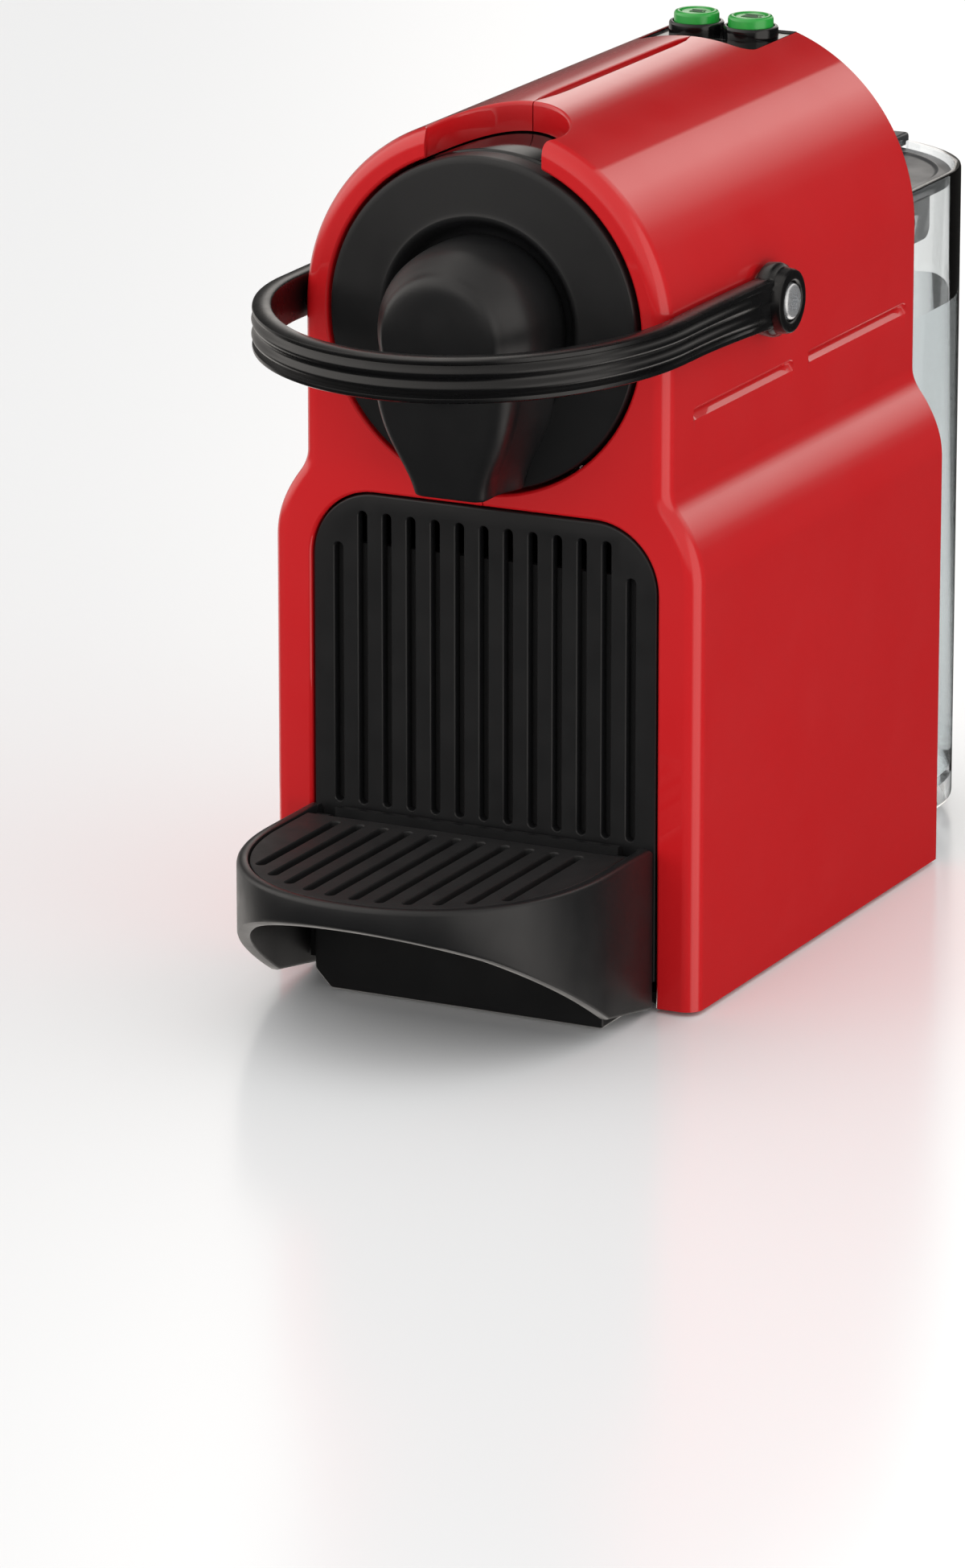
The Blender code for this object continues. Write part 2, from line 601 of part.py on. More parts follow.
def make_tray():
    hinge = at(0, TRAY_HINGE_DEPTH, TRAY_HINGE_Z)
    tray = prism("drip_tray", BLACK, tray_plan(0, -0.8), "z", 1.0, TRAY_TOP)
    under = [(-17.0, -6), (-17.0, 0.5), (-47.0, 18.6), (-64.0, 29.2), (-80.0, 37.6),
             (-90.0, 42.0), (-90.0, -6)]
    cut(tray, prism("cut", None, under, "x", -60, 60))
    hollow = tray_plan(TRAY_WALL + 0.4, 5)
    scoop = prism("scoop", None, hollow, "z", -5, 60)
    floor = [(-90, -6), (10, -6), (10, 31.4), (-20, 31.4), (-60, 36.4), (-90, 38.4)]
    combine(scoop, prism("floor", None, floor, "x", -60, 60), "INTERSECT")
    cut(tray, scoop)
    cut(tray, prism("cut", None, tray_plan(TRAY_WALL, -4.0), "z", 41.0, 60))
    bowl = prism("bowl", None, tray_plan(TRAY_WALL + 2.0, -6.0), "z", 20, 60)
    base = [(-90, 40.2), (-60, 38.2), (-20, 33.4), (10, 33.4), (10, 70), (-90, 70)]
    combine(bowl, prism("base", None, base, "x", -60, 60), "INTERSECT")
    cut(tray, bowl)
    top_edge = [(-2.8, TRAY_TOP + 0.4), (1, TRAY_TOP + 0.4), (1, 40.4)]
    cut(tray, prism("cut", None, top_edge, "x", -60, 60))
    floor_edge = [(-4.0, 31.0), (1, 31.0), (1, 35.8)]
    cut(tray, prism("cut", None, floor_edge, "x", -44.7, 44.7))
    for side in (-1, 1):
        notch = block("cut", None, sorted((40.0 * side, 44.9 * side)), (-10.2, 5), (20, 60))
        cut(tray, notch)
        peg = [(0, 46 * side), (1.9, 46 * side), (1.9, 41 * side), (0, 41 * side)]
        weld(tray, lathe("peg", None, peg, "x", (TRAY_HINGE_DEPTH, TRAY_HINGE_Z), 12))
    tray.data.transform(Matrix.Translation(-hinge))
    tray.location = hinge

    grid = prism("drip_grid", MATT_BLACK, tray_plan(TRAY_WALL + GAP, -10.0), "z", 41.3, 43.3)
    bm = bmesh.new()
    middle = SLOTS // 2
    for k in range(1 - middle, middle):
        x = k * SLOT_PITCH
        reach = (TRAY_REACH - TRAY_BEND) * sqrt(max(1 - (x / TRAY_HALF) ** 2, 0))
        front = -TRAY_BEND - reach + 9
        half = SLOT_WIDTH / 2
        outline = arc(x, -14 - half, half, 0, 180, 4) + arc(x, front + half, half, 180, 360, 4)
        add_prism(bm, outline, "z", 38, 50)
    cut(grid, finish(bm, "slots", None))


# ---- water tank ------------------------------------------------------------------------------

def make_tank():
    tank = prism("water_tank", CLEAR, tank_plan(0, TANK_FRONT), "z", 3.0, TANK_TOP)
    cut(tank, prism("cut", None, tank_plan(TANK_WALL, TANK_FRONT + TANK_WALL), "z", 11.4, 190))
    cut(tank, prism("cut", None, tank_plan(TANK_WALL, TANK_FRONT - 5), "z", -5, 9.2))
    cut(tank, prism("cut", None, circle(0, 170, 6.3, 20), "z", 5, 20))
    cut(tank, block("cut", None, (-21, 21), (150, 158), (-5, 22)))
    weld(tank, make_tank_step())
    valve = [(0, 5.2), (5.0, 5.2), (5.9, 7.0), (5.9, 11.8), (7.6, 11.8), (7.6, 13.2),
             (5.2, 13.2), (4.4, 19), (0, 19)]
    lathe("tank_valve", INNER, valve, "z", (0, 170), 20)

    pin_line = at(0, LID_PIN_DEPTH, LID_PIN_Z)
    inset = TANK_WALL + 0.6
    lid = prism("tank_lid", LID_GREY, tank_plan(inset, TANK_FRONT + 6.4), "z", 174.6, 177.4)
    for side in (-1, 1):
        ear = round_box(161.0, 181.0, 163.6, 179.0, 3.4, 3)
        ear = [(d, z) for d, z in ear if z < 176.0]
        inner, outer = 39.0 * side, (TANK_HALF - inset) * side
        weld(lid, prism("ear", None, ear, "x", inner, outer))
        peg = [(0, 39.5 * side), (2.2, 39.5 * side), (2.2, 44.0 * side), (0, 44.0 * side)]
        weld(lid, lathe("peg", None, peg, "x", (LID_PIN_DEPTH, LID_PIN_Z), 12))
        cut(tank, prism("cut", None, circle(LID_PIN_DEPTH, LID_PIN_Z, 2.6, 12), "x",
                        41 * side, 60 * side))
    back = TANK_BEND + TANK_ROUND
    tab = block("tab", None, (-16, 16), (back - 9, back), (177.0, 180.6))
    weld(lid, tab)
    cut(tank, block("cut", None, (-17, 17), (220, 240), (176.4, 190)))
    lid.data.transform(Matrix.Translation(-pin_line))
    lid.location = pin_line


def make_tank_step():
    """The pocket over the dock's tongue, closed again inside the tank."""
    step = block("step", None, (-23.4, 23.4), (154.2, 160.4), (9.6, 24.4))
    return cut(step, block("cut", None, (-21, 21), (150, 158), (5, 22)))


# ---- inside ----------------------------------------------------------------------------------

def make_inside():
    pump = [(0, 20), (10, 20), (10, 26), (17.5, 26), (17.5, 84), (8, 84), (8, 98), (3.4, 98),
            (3.4, 104), (0, 104)]
    lathe("pump", INNER, pump, "z", (26, 121), 24)
    heater = block("thermoblock", ALLOY, (-50, -6), (101, 143), (14, 78))
    fins = bmesh.new()
    for k in range(7):
        x = -47 + k * 6
        outline = [(x, 100), (x + 2.6, 100), (x + 2.6, 103), (x, 103)]
        add_prism(fins, outline, "z", 12, 80)
    cut(heater, finish(fins, "fins", None))
    port = [(0, 70), (3.4, 70), (3.4, 84), (0, 84)]
    weld(heater, lathe("port", None, port, "z", (-16, 120), 12))
    block("power_board", BOARD, (-55.6, -53.6), (30, 96), (60, 108))
    tube("suction_hose", SILICONE, [(10, 146.4, 16.7), (10.5, 139, 16.0), (17, 129, 10.5),
                                    (24.5, 122, 10.8), (26, 121, 15), (26, 121, 19.5)], 2.4)
    tube("feed_hose", SILICONE, [(26, 121, 104.4), (26, 121, 112), (18, 121, 122),
                                 (4, 120, 122), (-11, 120, 112), (-16, 120, 98),
                                 (-16, 120, 84.4)], 2.4)
    tube("brew_hose", SILICONE, [(-32, 122, 78.4), (-32, 122, 96), (-30, 124, 114),
                                 (-24, 133, 128), (-16, 137, 144), (-10, 135, 158),
                                 (-3, 129, 166), (-2, 125.4, 167)], 2.4)


def clear_scene():
    for existing in list(bpy.data.objects):
        bpy.data.objects.remove(existing)


def main():
    clear_scene()
    make_housing()
    make_rear_panel()
    make_base()
    make_brew_head()
    make_brew_unit()
    make_lever()
    make_buttons()
    make_service_unit()
    make_tray()
    make_tank()
    make_inside()


main()
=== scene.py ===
"""Looks of a compact capsule espresso machine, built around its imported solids.

It is laid out as an add-on and run as a script.  Sizes inside the builders are in millimetres.
X runs to the right as the machine is seen from the front, and Z is up.  A depth is measured back
from the housing's front face.  Every piece is made in place, so its object stays at the origin.
"""

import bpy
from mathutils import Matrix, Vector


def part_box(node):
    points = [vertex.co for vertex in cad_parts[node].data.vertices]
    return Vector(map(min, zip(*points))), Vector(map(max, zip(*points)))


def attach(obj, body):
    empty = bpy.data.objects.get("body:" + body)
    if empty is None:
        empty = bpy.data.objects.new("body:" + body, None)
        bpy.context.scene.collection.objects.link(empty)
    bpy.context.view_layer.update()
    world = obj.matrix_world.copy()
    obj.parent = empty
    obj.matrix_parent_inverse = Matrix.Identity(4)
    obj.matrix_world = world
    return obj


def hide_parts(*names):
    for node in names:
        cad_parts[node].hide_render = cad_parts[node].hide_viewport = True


bl_info = {
    "name": "Capsule Espresso Machine",
    "version": (1, 0, 0),
    "blender": (4, 5, 0),
    "location": "View3D > Sidebar > Espresso",
    "description": "Builds the visible pieces and finishes of a capsule espresso machine",
    "category": "Object",
}

from math import cos, pi, radians, sin, sqrt
from types import SimpleNamespace

import bmesh
import bpy
from bpy.props import FloatProperty, FloatVectorProperty, PointerProperty
from mathutils import Matrix, Vector

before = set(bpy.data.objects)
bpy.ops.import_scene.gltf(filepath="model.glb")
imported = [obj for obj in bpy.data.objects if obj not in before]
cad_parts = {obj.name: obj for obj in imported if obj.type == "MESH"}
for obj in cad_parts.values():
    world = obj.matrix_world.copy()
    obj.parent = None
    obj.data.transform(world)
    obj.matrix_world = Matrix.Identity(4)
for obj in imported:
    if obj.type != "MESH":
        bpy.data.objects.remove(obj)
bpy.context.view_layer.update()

SHELL_LOW, SHELL_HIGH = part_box("housing_right")
TRAY_LOW, TRAY_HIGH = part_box("drip_tray")
TANK_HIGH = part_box("water_tank")[1]
FRONT = SHELL_LOW.y * 1000     # the housing's front face, in millimetres
GAP = 0.3                      # clearance kept between touching pieces
HOOD_R = 0.0511                # radius of the arched upper body, in metres
DISC_R = 42.6
PIVOT_DEPTH = 56.8             # the lever's pivot, back from the front face
BUTTON_DEPTH, BUTTON_X = 142.0, 7.8
TRAY_HINGE = (-6.0, 38.6)      # (depth, Z) of the pegs that the tray folds about
TANK_FRONT = 153.6
TANK_BEND, TANK_ROUND = 189.4, 39.1    # where the tank turns into its round back, and how deep
LID_PIN = (166.5, 170.0)       # (depth, Z) of the lid's pins
NOTCH_BEND, NOTCH_BACK = 8.1, 20.3     # where the slot turns into its round back, and how deep
REAR_EDGE = 1.0                # rounding of the housing's rear outer edge
CRANK, CRANK_TURN = 12.0, 52.0         # the lever's crank: its reach and its angle at rest
NOZZLE_DEPTH = -10.5
FLARE_TILT = 1.4               # the flare is shaded this much steeper, for its broad highlight
SLOT_PITCH = 6.85
SLOT_WIDTH = 2.4


# ---- sizes and colours a user would change ------------------------------------------------------

def linear(code):
    """A six-digit sRGB hex colour as linear red, green and blue."""
    parts = [int(code[i:i + 2], 16) / 255 for i in (0, 2, 4)]
    return tuple(v / 12.92 if v <= 0.04045 else ((v + 0.055) / 1.055) ** 2.4 for v in parts)


def length(name, description, default):
    """A length that a user can change, in metres."""
    return FloatProperty(name=name, description=description, default=default, min=0.0,
                         subtype="DISTANCE", unit="LENGTH", precision=4)


def colour(name, description, code):
    """A colour that a user can change, from its hex code."""
    return FloatVectorProperty(name=name, description=description, default=linear(code),
                               min=0.0, max=1.0, size=3, subtype="COLOR")


class EspressoShell(bpy.types.PropertyGroup):
    half_width: length("Half width", "Half the width of the lower body", SHELL_HIGH.x)
    hood_radius: length("Hood radius", "Radius of the arched upper body", HOOD_R)
    arch_height: length("Arch height", "Height of the arch's centre", SHELL_HIGH.z - HOOD_R)
    depth: length("Depth", "Depth of the housing", SHELL_HIGH.y - SHELL_LOW.y)
    front_edge: length("Front edge", "Rounding of the front outer edge", 0.0045)
    flare_top: length("Flare top", "Height where the body starts to widen", 0.1353)
    flare_low: length("Flare foot", "Height where the body has its full width", 0.1118)
    wall: length("Wall", "Thickness of the moulded shell", 0.0026)
    tunnel: length("Head opening", "Radius of the round opening for the brew head", 0.0436)
    lip: length("Lip", "Rounding of the edges of openings", 0.0010)


class EspressoLever(bpy.types.PropertyGroup):
    half_width: length("Half width", "Half the width across the arms", 0.0569)
    reach: length("Reach", "How far the round front stands out", 0.0604)
    band: length("Band", "Thickness of the band, seen from above", 0.0052)
    tall: length("Height", "Height of the band at the front", 0.0114)
    groove: length("Groove", "Depth of the two grooves in its outer face", 0.0011)


class EspressoTray(bpy.types.PropertyGroup):
    half_width: length("Half width", "Half the width of the tray", TRAY_HIGH.x)
    top: length("Top", "Height of the rim", TRAY_HIGH.z)
    reach: length("Reach", "How far the tray stands out in front",
                  SHELL_LOW.y - TRAY_LOW.y)
    bend: length("Bend", "Where the straight sides turn into the round front", 0.0254)
    wall: length("Rim", "Width of the rim around the grid", 0.0030)


class EspressoTank(bpy.types.PropertyGroup):
    half_width: length("Half width", "Half the width of the tank", TANK_HIGH.x)
    top: length("Top", "Height of the rim", TANK_HIGH.z)
    wall: length("Wall", "Thickness of the clear wall", 0.0020)
    water: length("Water level", "Height of the water's surface", 0.1435)


class EspressoColours(bpy.types.PropertyGroup):
    shell: colour("Shell", "Gloss red of the housing", "c6161b")
    satin: colour("Satin black", "Grained black mouldings", "171718")
    gloss: colour("Gloss black", "Polished black mouldings", "0c0c0d")
    matt: colour("Matt black", "Hidden and rear mouldings", "1a1a1b")
    button: colour("Button", "Green of the two buttons", "22a33a")
    icon: colour("Icon", "Dark green of the cup marks", "0d4a1c")
    lid: colour("Tank lid", "Grey of the tank's lid", "3c3d3f")


def in_mm(group):
    """A property group's lengths in millimetres."""
    names = group.__annotations__
    return SimpleNamespace(**{name: getattr(group, name) * 1000 for name in names})


# ---- outlines -----------------------------------------------------------------------------------

def at(x, depth, z):
    """A place in the scene from millimetres."""
    return Vector((x, FRONT + depth, z)) / 1000


def arc(cx, cy, radius, start, end, steps, radius_y=None):
    """Points of an arc from start to end degrees, both ends included."""
    radius_y = radius if radius_y is None else radius_y
    turns = [radians(start + (end - start) * i / steps) for i in range(steps + 1)]
    return [(cx + radius * cos(t), cy + radius_y * sin(t)) for t in turns]


def circle(cx, cy, radius, steps=48):
    return arc(cx, cy, radius, 0, 360, steps)[:-1]


def round_box(x0, x1, y0, y1, radius, steps=6):
    """A rectangle with round corners."""
    return (arc(x1 - radius, y1 - radius, radius, 0, 90, steps)
            + arc(x0 + radius, y1 - radius, radius, 90, 180, steps)
            + arc(x0 + radius, y0 + radius, radius, 180, 270, steps)
            + arc(x1 - radius, y0 + radius, radius, 270, 360, steps))


def both_sides(right):
    """The right half of an outline and its mirror image, in one round."""
    return right + [(-x, y) for x, y in reversed(right)]


def level(line, depth):
    """Height at a depth along a line of (depth, Z) points."""
    for (d0, z0), (d1, z1) in zip(line, line[1:]):
        if depth <= d1:
            return z0 + (z1 - z0) * (depth - d0) / (d1 - d0)
    return line[-1][1]


def smooth_path(points, between):
    """Catmull-Rom points through the given ones, of any dimension."""
    given = [Vector(point) for point in points]
    ends = [given[0] * 2 - given[1]] + given + [given[-1] * 2 - given[-2]]
    path = []
    for a, b, c, d in zip(ends, ends[1:], ends[2:], ends[3:]):
        for i in range(between):
            t = i / between
            path.append(0.5 * (2 * b + (c - a) * t + (2 * a - 5 * b + 4 * c - d) * t ** 2
                               + (3 * b - a - 3 * c + d) * t ** 3))
    return path + [given[-1]]


def rounding(radius, steps=4):
    """(pull-in, way along) of a quarter round, from the face that it leaves to the next one."""
    turns = [radians(90 * i / steps) for i in range(steps + 1)]
    return [(radius * (1 - sin(t)), radius * (1 - cos(t))) for t in turns]


def lip(radius, steps=4):
    """(growth, sink) of a cutter whose edge at the surface is rounded outwards."""
    return [(1.5 * radius, -0.4)] + rounding(radius, steps)[1:]


# ---- mesh making --------------------------------------------------------------------------------

def loft(rings, ends=True, around=True):
    """A new bmesh with a skin over rings of points that all have the same count."""
    bm = bmesh.new()
    rows = [[bm.verts.new(point) for point in ring] for ring in rings]
    count = len(rows[0])
    for low, high in zip(rows, rows[1:]):
        for i in range(count if around else count - 1):
            j = (i + 1) % count
            bm.faces.new((low[i], low[j], high[j], high[i]))
    if ends:
        bm.faces.new(rows[0][::-1])
        bm.faces.new(rows[-1])
    return bm


PLACES = {"x": lambda a, b, c: at(c, a, b), "y": lambda a, b, c: at(a, c, b),
          "z": lambda a, b, c: at(a, b, c)}


def prism(outline, axis, start, end):
    """Outline extruded along x (it holds depth, Z), y (X, Z) or z (X, depth)."""
    return loft([[PLACES[axis](a, b, c) for a, b in outline] for c in (start, end)])


def turned(profile, axis, centre, steps=64):
    """A closed profile of (radius, position) turned about an axis through centre."""
    bm = bmesh.new()
    rows = []
    for radius, along in profile:
        ring = []
        for i in range(steps if radius > 1e-6 else 1):
            a, b = radius * cos(2 * pi * i / steps), radius * sin(2 * pi * i / steps)
            point = PLACES[axis](centre[0] + a, centre[1] + b, along)
            ring.append(bm.verts.new(point))
        rows.append(ring * (steps // len(ring)))
    for first, second in zip(rows, rows[1:] + rows[:1]):
        for i in range(steps):
            j = (i + 1) % steps
            corners = []
            for vert in (first[i], first[j], second[j], second[i]):
                if vert not in corners:
                    corners.append(vert)
            if len(corners) > 2:
                bm.faces.new(corners)
    return bm


def axle(profile, side, centre, steps):
    """A turned piece across the machine: (radius, distance from the middle plane), and a side."""
    return turned([(radius, away * side) for radius, away in profile], "x", centre, steps)


def block(x, depth, z, edge=0.0, segments=3):
    """A box with all its edges rounded."""
    bm = prism([(x[0], depth[0]), (x[1], depth[0]), (x[1], depth[1]), (x[0], depth[1])],
               "z", z[0], z[1])
    return rounded(bm, edge, segments)


def rounded(bm, edge, segments=3, angle=40):
    """Round the edges that turn by more than the angle."""
    bmesh.ops.recalc_face_normals(bm, faces=bm.faces)
    if edge:
        sharp = [e for e in bm.edges
                 if len(e.link_faces) == 2 and e.calc_face_angle(0) > radians(angle)]
        bmesh.ops.bevel(bm, geom=sharp, offset=edge / 1000, segments=segments, profile=0.5,
                        affect="EDGES", clamp_overlap=True)
    return bm


def solid(bm, name="tool"):
    """An object of its own from a bmesh, with its faces turned outwards."""
    bmesh.ops.remove_doubles(bm, verts=bm.verts, dist=1e-6)
    bmesh.ops.recalc_face_normals(bm, faces=bm.faces)
    mesh = bpy.data.meshes.new(name)
    bm.to_mesh(mesh)
    bm.free()
    made = bpy.data.objects.new(name, mesh)
    bpy.context.scene.collection.objects.link(made)
    return made


def applied(target):
    """Turn the modifiers of a piece into its mesh."""
    shown = target.evaluated_get(bpy.context.evaluated_depsgraph_get())
    result = bpy.data.meshes.new_from_object(shown)
    target.modifiers.clear()
    old, target.data = target.data, result
    bpy.data.meshes.remove(old)
    return target


def combine(target, shape, operation):
    """Cut or weld a bmesh or an object into a target, and drop it."""
    tool = solid(shape) if isinstance(shape, bmesh.types.BMesh) else shape
    change = target.modifiers.new(operation.lower(), "BOOLEAN")
    change.operation, change.object, change.solver = operation, tool, "EXACT"
    applied(target)
    bpy.data.objects.remove(tool)
    return target


def cut(target, shape):
    return combine(target, shape, "DIFFERENCE")


def weld(target, shape):
    return combine(target, shape, "UNION")


def settle(made, name, look, body, nodes=(), sharp=32):
    """Name, shade and finish a piece, and hand it to the frame."""
    made.name = made.data.name = name
    made.data.materials.clear()
    made.data.materials.append(finish_of(look))
    made.data.shade_smooth()
    made.data.set_sharp_from_angle(angle=radians(sharp))
    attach(made, body)
    if nodes:
        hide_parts(*nodes)
    return made


def mirrored(source, name):
    """The left-hand copy of a right-hand piece."""
    bm = bmesh.new()
    bm.from_mesh(source.data)
    bm.transform(Matrix.Scale(-1, 4, Vector((1, 0, 0))))
    bmesh.ops.reverse_faces(bm, faces=bm.faces)
    return solid(bm, name)


# ---- finishes -----------------------------------------------------------------------------------

def add(tree, kind, inputs=None, **settings):
    """Add a node, set its properties, and set or link its inputs."""
    node = tree.nodes.new("ShaderNode" + kind)
    for key, value in settings.items():
        setattr(node, key, value)
    for key, value in (inputs or {}).items():
        if isinstance(value, bpy.types.NodeSocket):
            tree.links.new(value, node.inputs[key])
        else:
            node.inputs[key].default_value = value
    return node


def finish_of(maker):
    """The material that a maker describes, made once and shared."""
    return bpy.data.materials.get(maker.__name__) or maker(maker.__name__)


def start(name, base, **constants):
    """A material with one shader, and the parts that its patterns are added to."""
    made = bpy.data.materials.new(name)
    made.use_nodes = True
    tree = made.node_tree
    tree.nodes.clear()
    values = {key.replace("_", " ").title().replace("Ior", "IOR"): value
              for key, value in constants.items()}
    shader = add(tree, "BsdfPrincipled", {"Base Color": (*base, 1.0), **values})
    add(tree, "OutputMaterial", {"Surface": shader.outputs["BSDF"]})
    place = add(tree, "TexCoord").outputs["Object"]
    return SimpleNamespace(made=made, tree=tree, shader=shader, place=place, base=base)


def sized(m, size_mm, detail=2.0, rough=0.5):
    """Inputs that make a random pattern's features about size_mm across."""
    return {"Vector": m.place, "Scale": 1000 / size_mm, "Detail": detail, "Roughness": rough}


def shade(m, size_mm, share):
    """Let the base colour drift darker by a share, over patches of size_mm."""
    low = tuple(v * (1 - share) for v in m.base)
    patches = add(m.tree, "TexNoise", sized(m, size_mm))
    mix = add(m.tree, "Mix", {0: patches.outputs["Fac"], 6: (*low, 1), 7: (*m.base, 1)},
              data_type="RGBA")
    m.tree.links.new(mix.outputs[2], m.shader.inputs["Base Color"])


def polish(m, size_mm, low, high):
    """Let the roughness drift between two values, over patches of size_mm."""
    patches = add(m.tree, "TexNoise", sized(m, size_mm, 3))
    made = add(m.tree, "MapRange", {"Value": patches.outputs["Fac"], "From Min": 0.3,
                                    "From Max": 0.7, "To Min": low, "To Max": high})
    m.tree.links.new(made.outputs["Result"], m.shader.inputs["Roughness"])


def relief(m, layers):
    """Raise the surface by layers of (pattern, height in mm)."""
    normal = None
    for height, rise_mm in layers:
        inputs = {"Height": height, "Distance": rise_mm / 1000, "Strength": 1.0}
        if normal:
            inputs["Normal"] = normal
        normal = add(m.tree, "Bump", inputs).outputs["Normal"]
    m.tree.links.new(normal, m.shader.inputs["Normal"])


def finish(name, base, drift=None, gloss=None, bumps=(), **constants):
    """A material with drift (mm, share), gloss (mm, low, high) and bumps (mm, height, detail)."""
    m = start(name, base, **constants)
    if drift:
        shade(m, *drift)
    if gloss:
        polish(m, *gloss)
    if bumps:
        relief(m, [(add(m.tree, "TexNoise", sized(m, size_mm, *rest)).outputs["Fac"], rise_mm)
                   for size_mm, rise_mm, *rest in bumps])
    return m


def chosen(name):
    """A colour as the user has it now."""
    return tuple(getattr(bpy.context.scene.espresso_colours, name))


def moulded_red_abs(name):
    # ABS from a polished mould: an even deep red under a clear glossy skin, with the slow
    # waviness that long softbox reflections show on thin moulded walls.
    return finish(name, chosen("shell"), (70, 0.05), (24, 0.3, 0.4),
                  [(34, 0.035, 1), (1.2, 0.0012)], specular_ior_level=0.2, coat_weight=1.0,
                  coat_roughness=0.045, coat_ior=1.5, ior=1.5).made


def grained_black_abs(name):
    # ABS from a spark-eroded mould: a dry black with a broad soft sheen.  The real grain is
    # about 0.15 mm, too fine to show, so it is drawn at 0.6 mm.
    return finish(name, chosen("satin"), (45, 0.12), (9, 0.36, 0.46), [(0.6, 0.012, 3, 0.6)],
                  ior=1.52).made


def fine_black_abs(name):
    # ABS from a stoned mould: a deep black whose edges and ridges catch thin bright lines.
    return finish(name, chosen("gloss"), (30, 0.15), (8, 0.24, 0.32), [(0.6, 0.004)],
                  ior=1.52).made


def polished_black_abs(name):
    # ABS from a mirror-polished mould: deep black, sharp reflections, faint hairline wear.
    return finish(name, chosen("gloss"), None, (6, 0.07, 0.16), [(22, 0.01, 1)],
                  ior=1.52).made


def matt_black_pp(name):
    # Polypropylene with a coarse grain: matt, slightly greyer than the satin mouldings.  The
    # grain of 0.3 mm is drawn at 0.9 mm to show.
    return finish(name, chosen("matt"), (30, 0.15), (7, 0.56, 0.7), [(0.9, 0.02, 3, 0.6)],
                  ior=1.49).made


def moulded_green_pc(name):
    # Polycarbonate tinted right through: a bright clean green with a hard skin.
    return finish(name, chosen("button"), (5, 0.12), None, [(0.7, 0.004)], roughness=0.3,
                  coat_weight=0.4, coat_roughness=0.12, ior=1.58).made


def printed_green_ink(name):
    # Pad-printed ink: flat, darker than the cap and a little rougher.
    return finish(name, chosen("icon"), (0.8, 0.25), roughness=0.5, ior=1.5).made


def turned_zinc_steel(name):
    # Steel, turned and zinc plated: fine rings left by the tool stretch its highlights.  The
    # rings of 0.05 mm are drawn at 0.35 mm.
    m = finish(name, linear("d4d6d8"), None, (1.5, 0.22, 0.36), metallic=0.75)
    spread = add(m.tree, "VectorMath", {0: m.place, 1: (0.0, -(FRONT + PIVOT_DEPTH) / 1000,
                                                        -ARCH_Z / 1000)}, operation="ADD")
    flat = add(m.tree, "VectorMath", {0: spread.outputs[0], 1: (0, 1, 1)},
               operation="MULTIPLY")
    far = add(m.tree, "VectorMath", {0: flat.outputs[0]}, operation="LENGTH")
    turns = add(m.tree, "Math", {0: far.outputs["Value"], 1: 2 * pi / 0.00035},
                operation="MULTIPLY")
    rings = add(m.tree, "Math", {0: turns.outputs[0]}, operation="SINE")
    relief(m, [(rings.outputs[0], 0.004)])
    return m.made


def clear_san(name):
    # Styrene acrylonitrile, injection moulded: clear and colourless, with bright rims where
    # its walls are seen edge on and a slight moulding waviness.  The walls are thin, so what
    # bends the light is kept low, and a skin of the plastic's own index makes the reflections.
    return finish(name, linear("f6f8f8"), bumps=[(26, 0.02, 1)], roughness=0.02, ior=1.06,
                  transmission_weight=1.0, coat_weight=1.0, coat_roughness=0.03,
                  coat_ior=1.56).made


def still_water(name):
    # Water: it bends what is behind it and shows at its surface.  Its index is lowered, since
    # the walls around it bend less here too.
    return finish(name, linear("f2f6f7"), bumps=[(30, 0.01, 1)], roughness=0.0, ior=1.1,
                  transmission_weight=1.0).made


def moulded_grey_san(name):
    # Smoke-grey SAN: an even satin grey with a fine grain, drawn at 0.6 mm.
    return finish(name, chosen("lid"), (25, 0.1), (9, 0.3, 0.4), [(0.6, 0.006)],
                  ior=1.56).made


def moulded_rubber(name):
    # Nitrile rubber: soft, dull and slightly dusty.
    return finish(name, linear("232323"), (3, 0.3), None, [(0.8, 0.03, 3)], roughness=0.85,
                  ior=1.5).made


def natural_nylon(name):
    # Unpigmented nylon: a warm off-white with a waxy sheen.
    return finish(name, linear("b8b3a6"), (12, 0.1), (5, 0.45, 0.6), ior=1.53).made


def cast_aluminium(name):
    # Die-cast aluminium: pale grey metal with a granular blasted skin.
    return finish(name, linear("a9abad"), None, (2, 0.38, 0.55), [(0.8, 0.03, 4)],
                  metallic=1.0).made


def silicone_hose(name):
    # Extruded silicone: milky and faintly glossy.
    return finish(name, linear("d8d6cf"), (8, 0.08), roughness=0.4, ior=1.41).made


def glass_epoxy_board(name):
    # Glass-epoxy circuit board under green solder mask, with the cloth's weave just showing.
    m = finish(name, linear("14532d"), (6, 0.2), roughness=0.35, ior=1.55)
    weave = add(m.tree, "TexWave", {"Vector": m.place, "Scale": 1000 / 6.3, "Distortion": 0.0},
                bands_direction="Y")
    relief(m, [(weave.outputs["Fac"], 0.02)])
    return m.made


# ---- housing ------------------------------------------------------------------------------------

ARCH_Z = (SHELL_HIGH.z - HOOD_R) * 1000


def flare(s, z):
    """Half width of the body at a height below the arch: a quick bend, then a long slope."""
    u = min(max((s.flare_top - z) / (s.flare_top - s.flare_low), 0.0), 1.0)
    peak = 0.26
    grown = u * u / peak if u < peak else 1 - (1 - u) ** 2 / (1 - peak)
    return s.hood_radius + (s.half_width - s.hood_radius) * grown


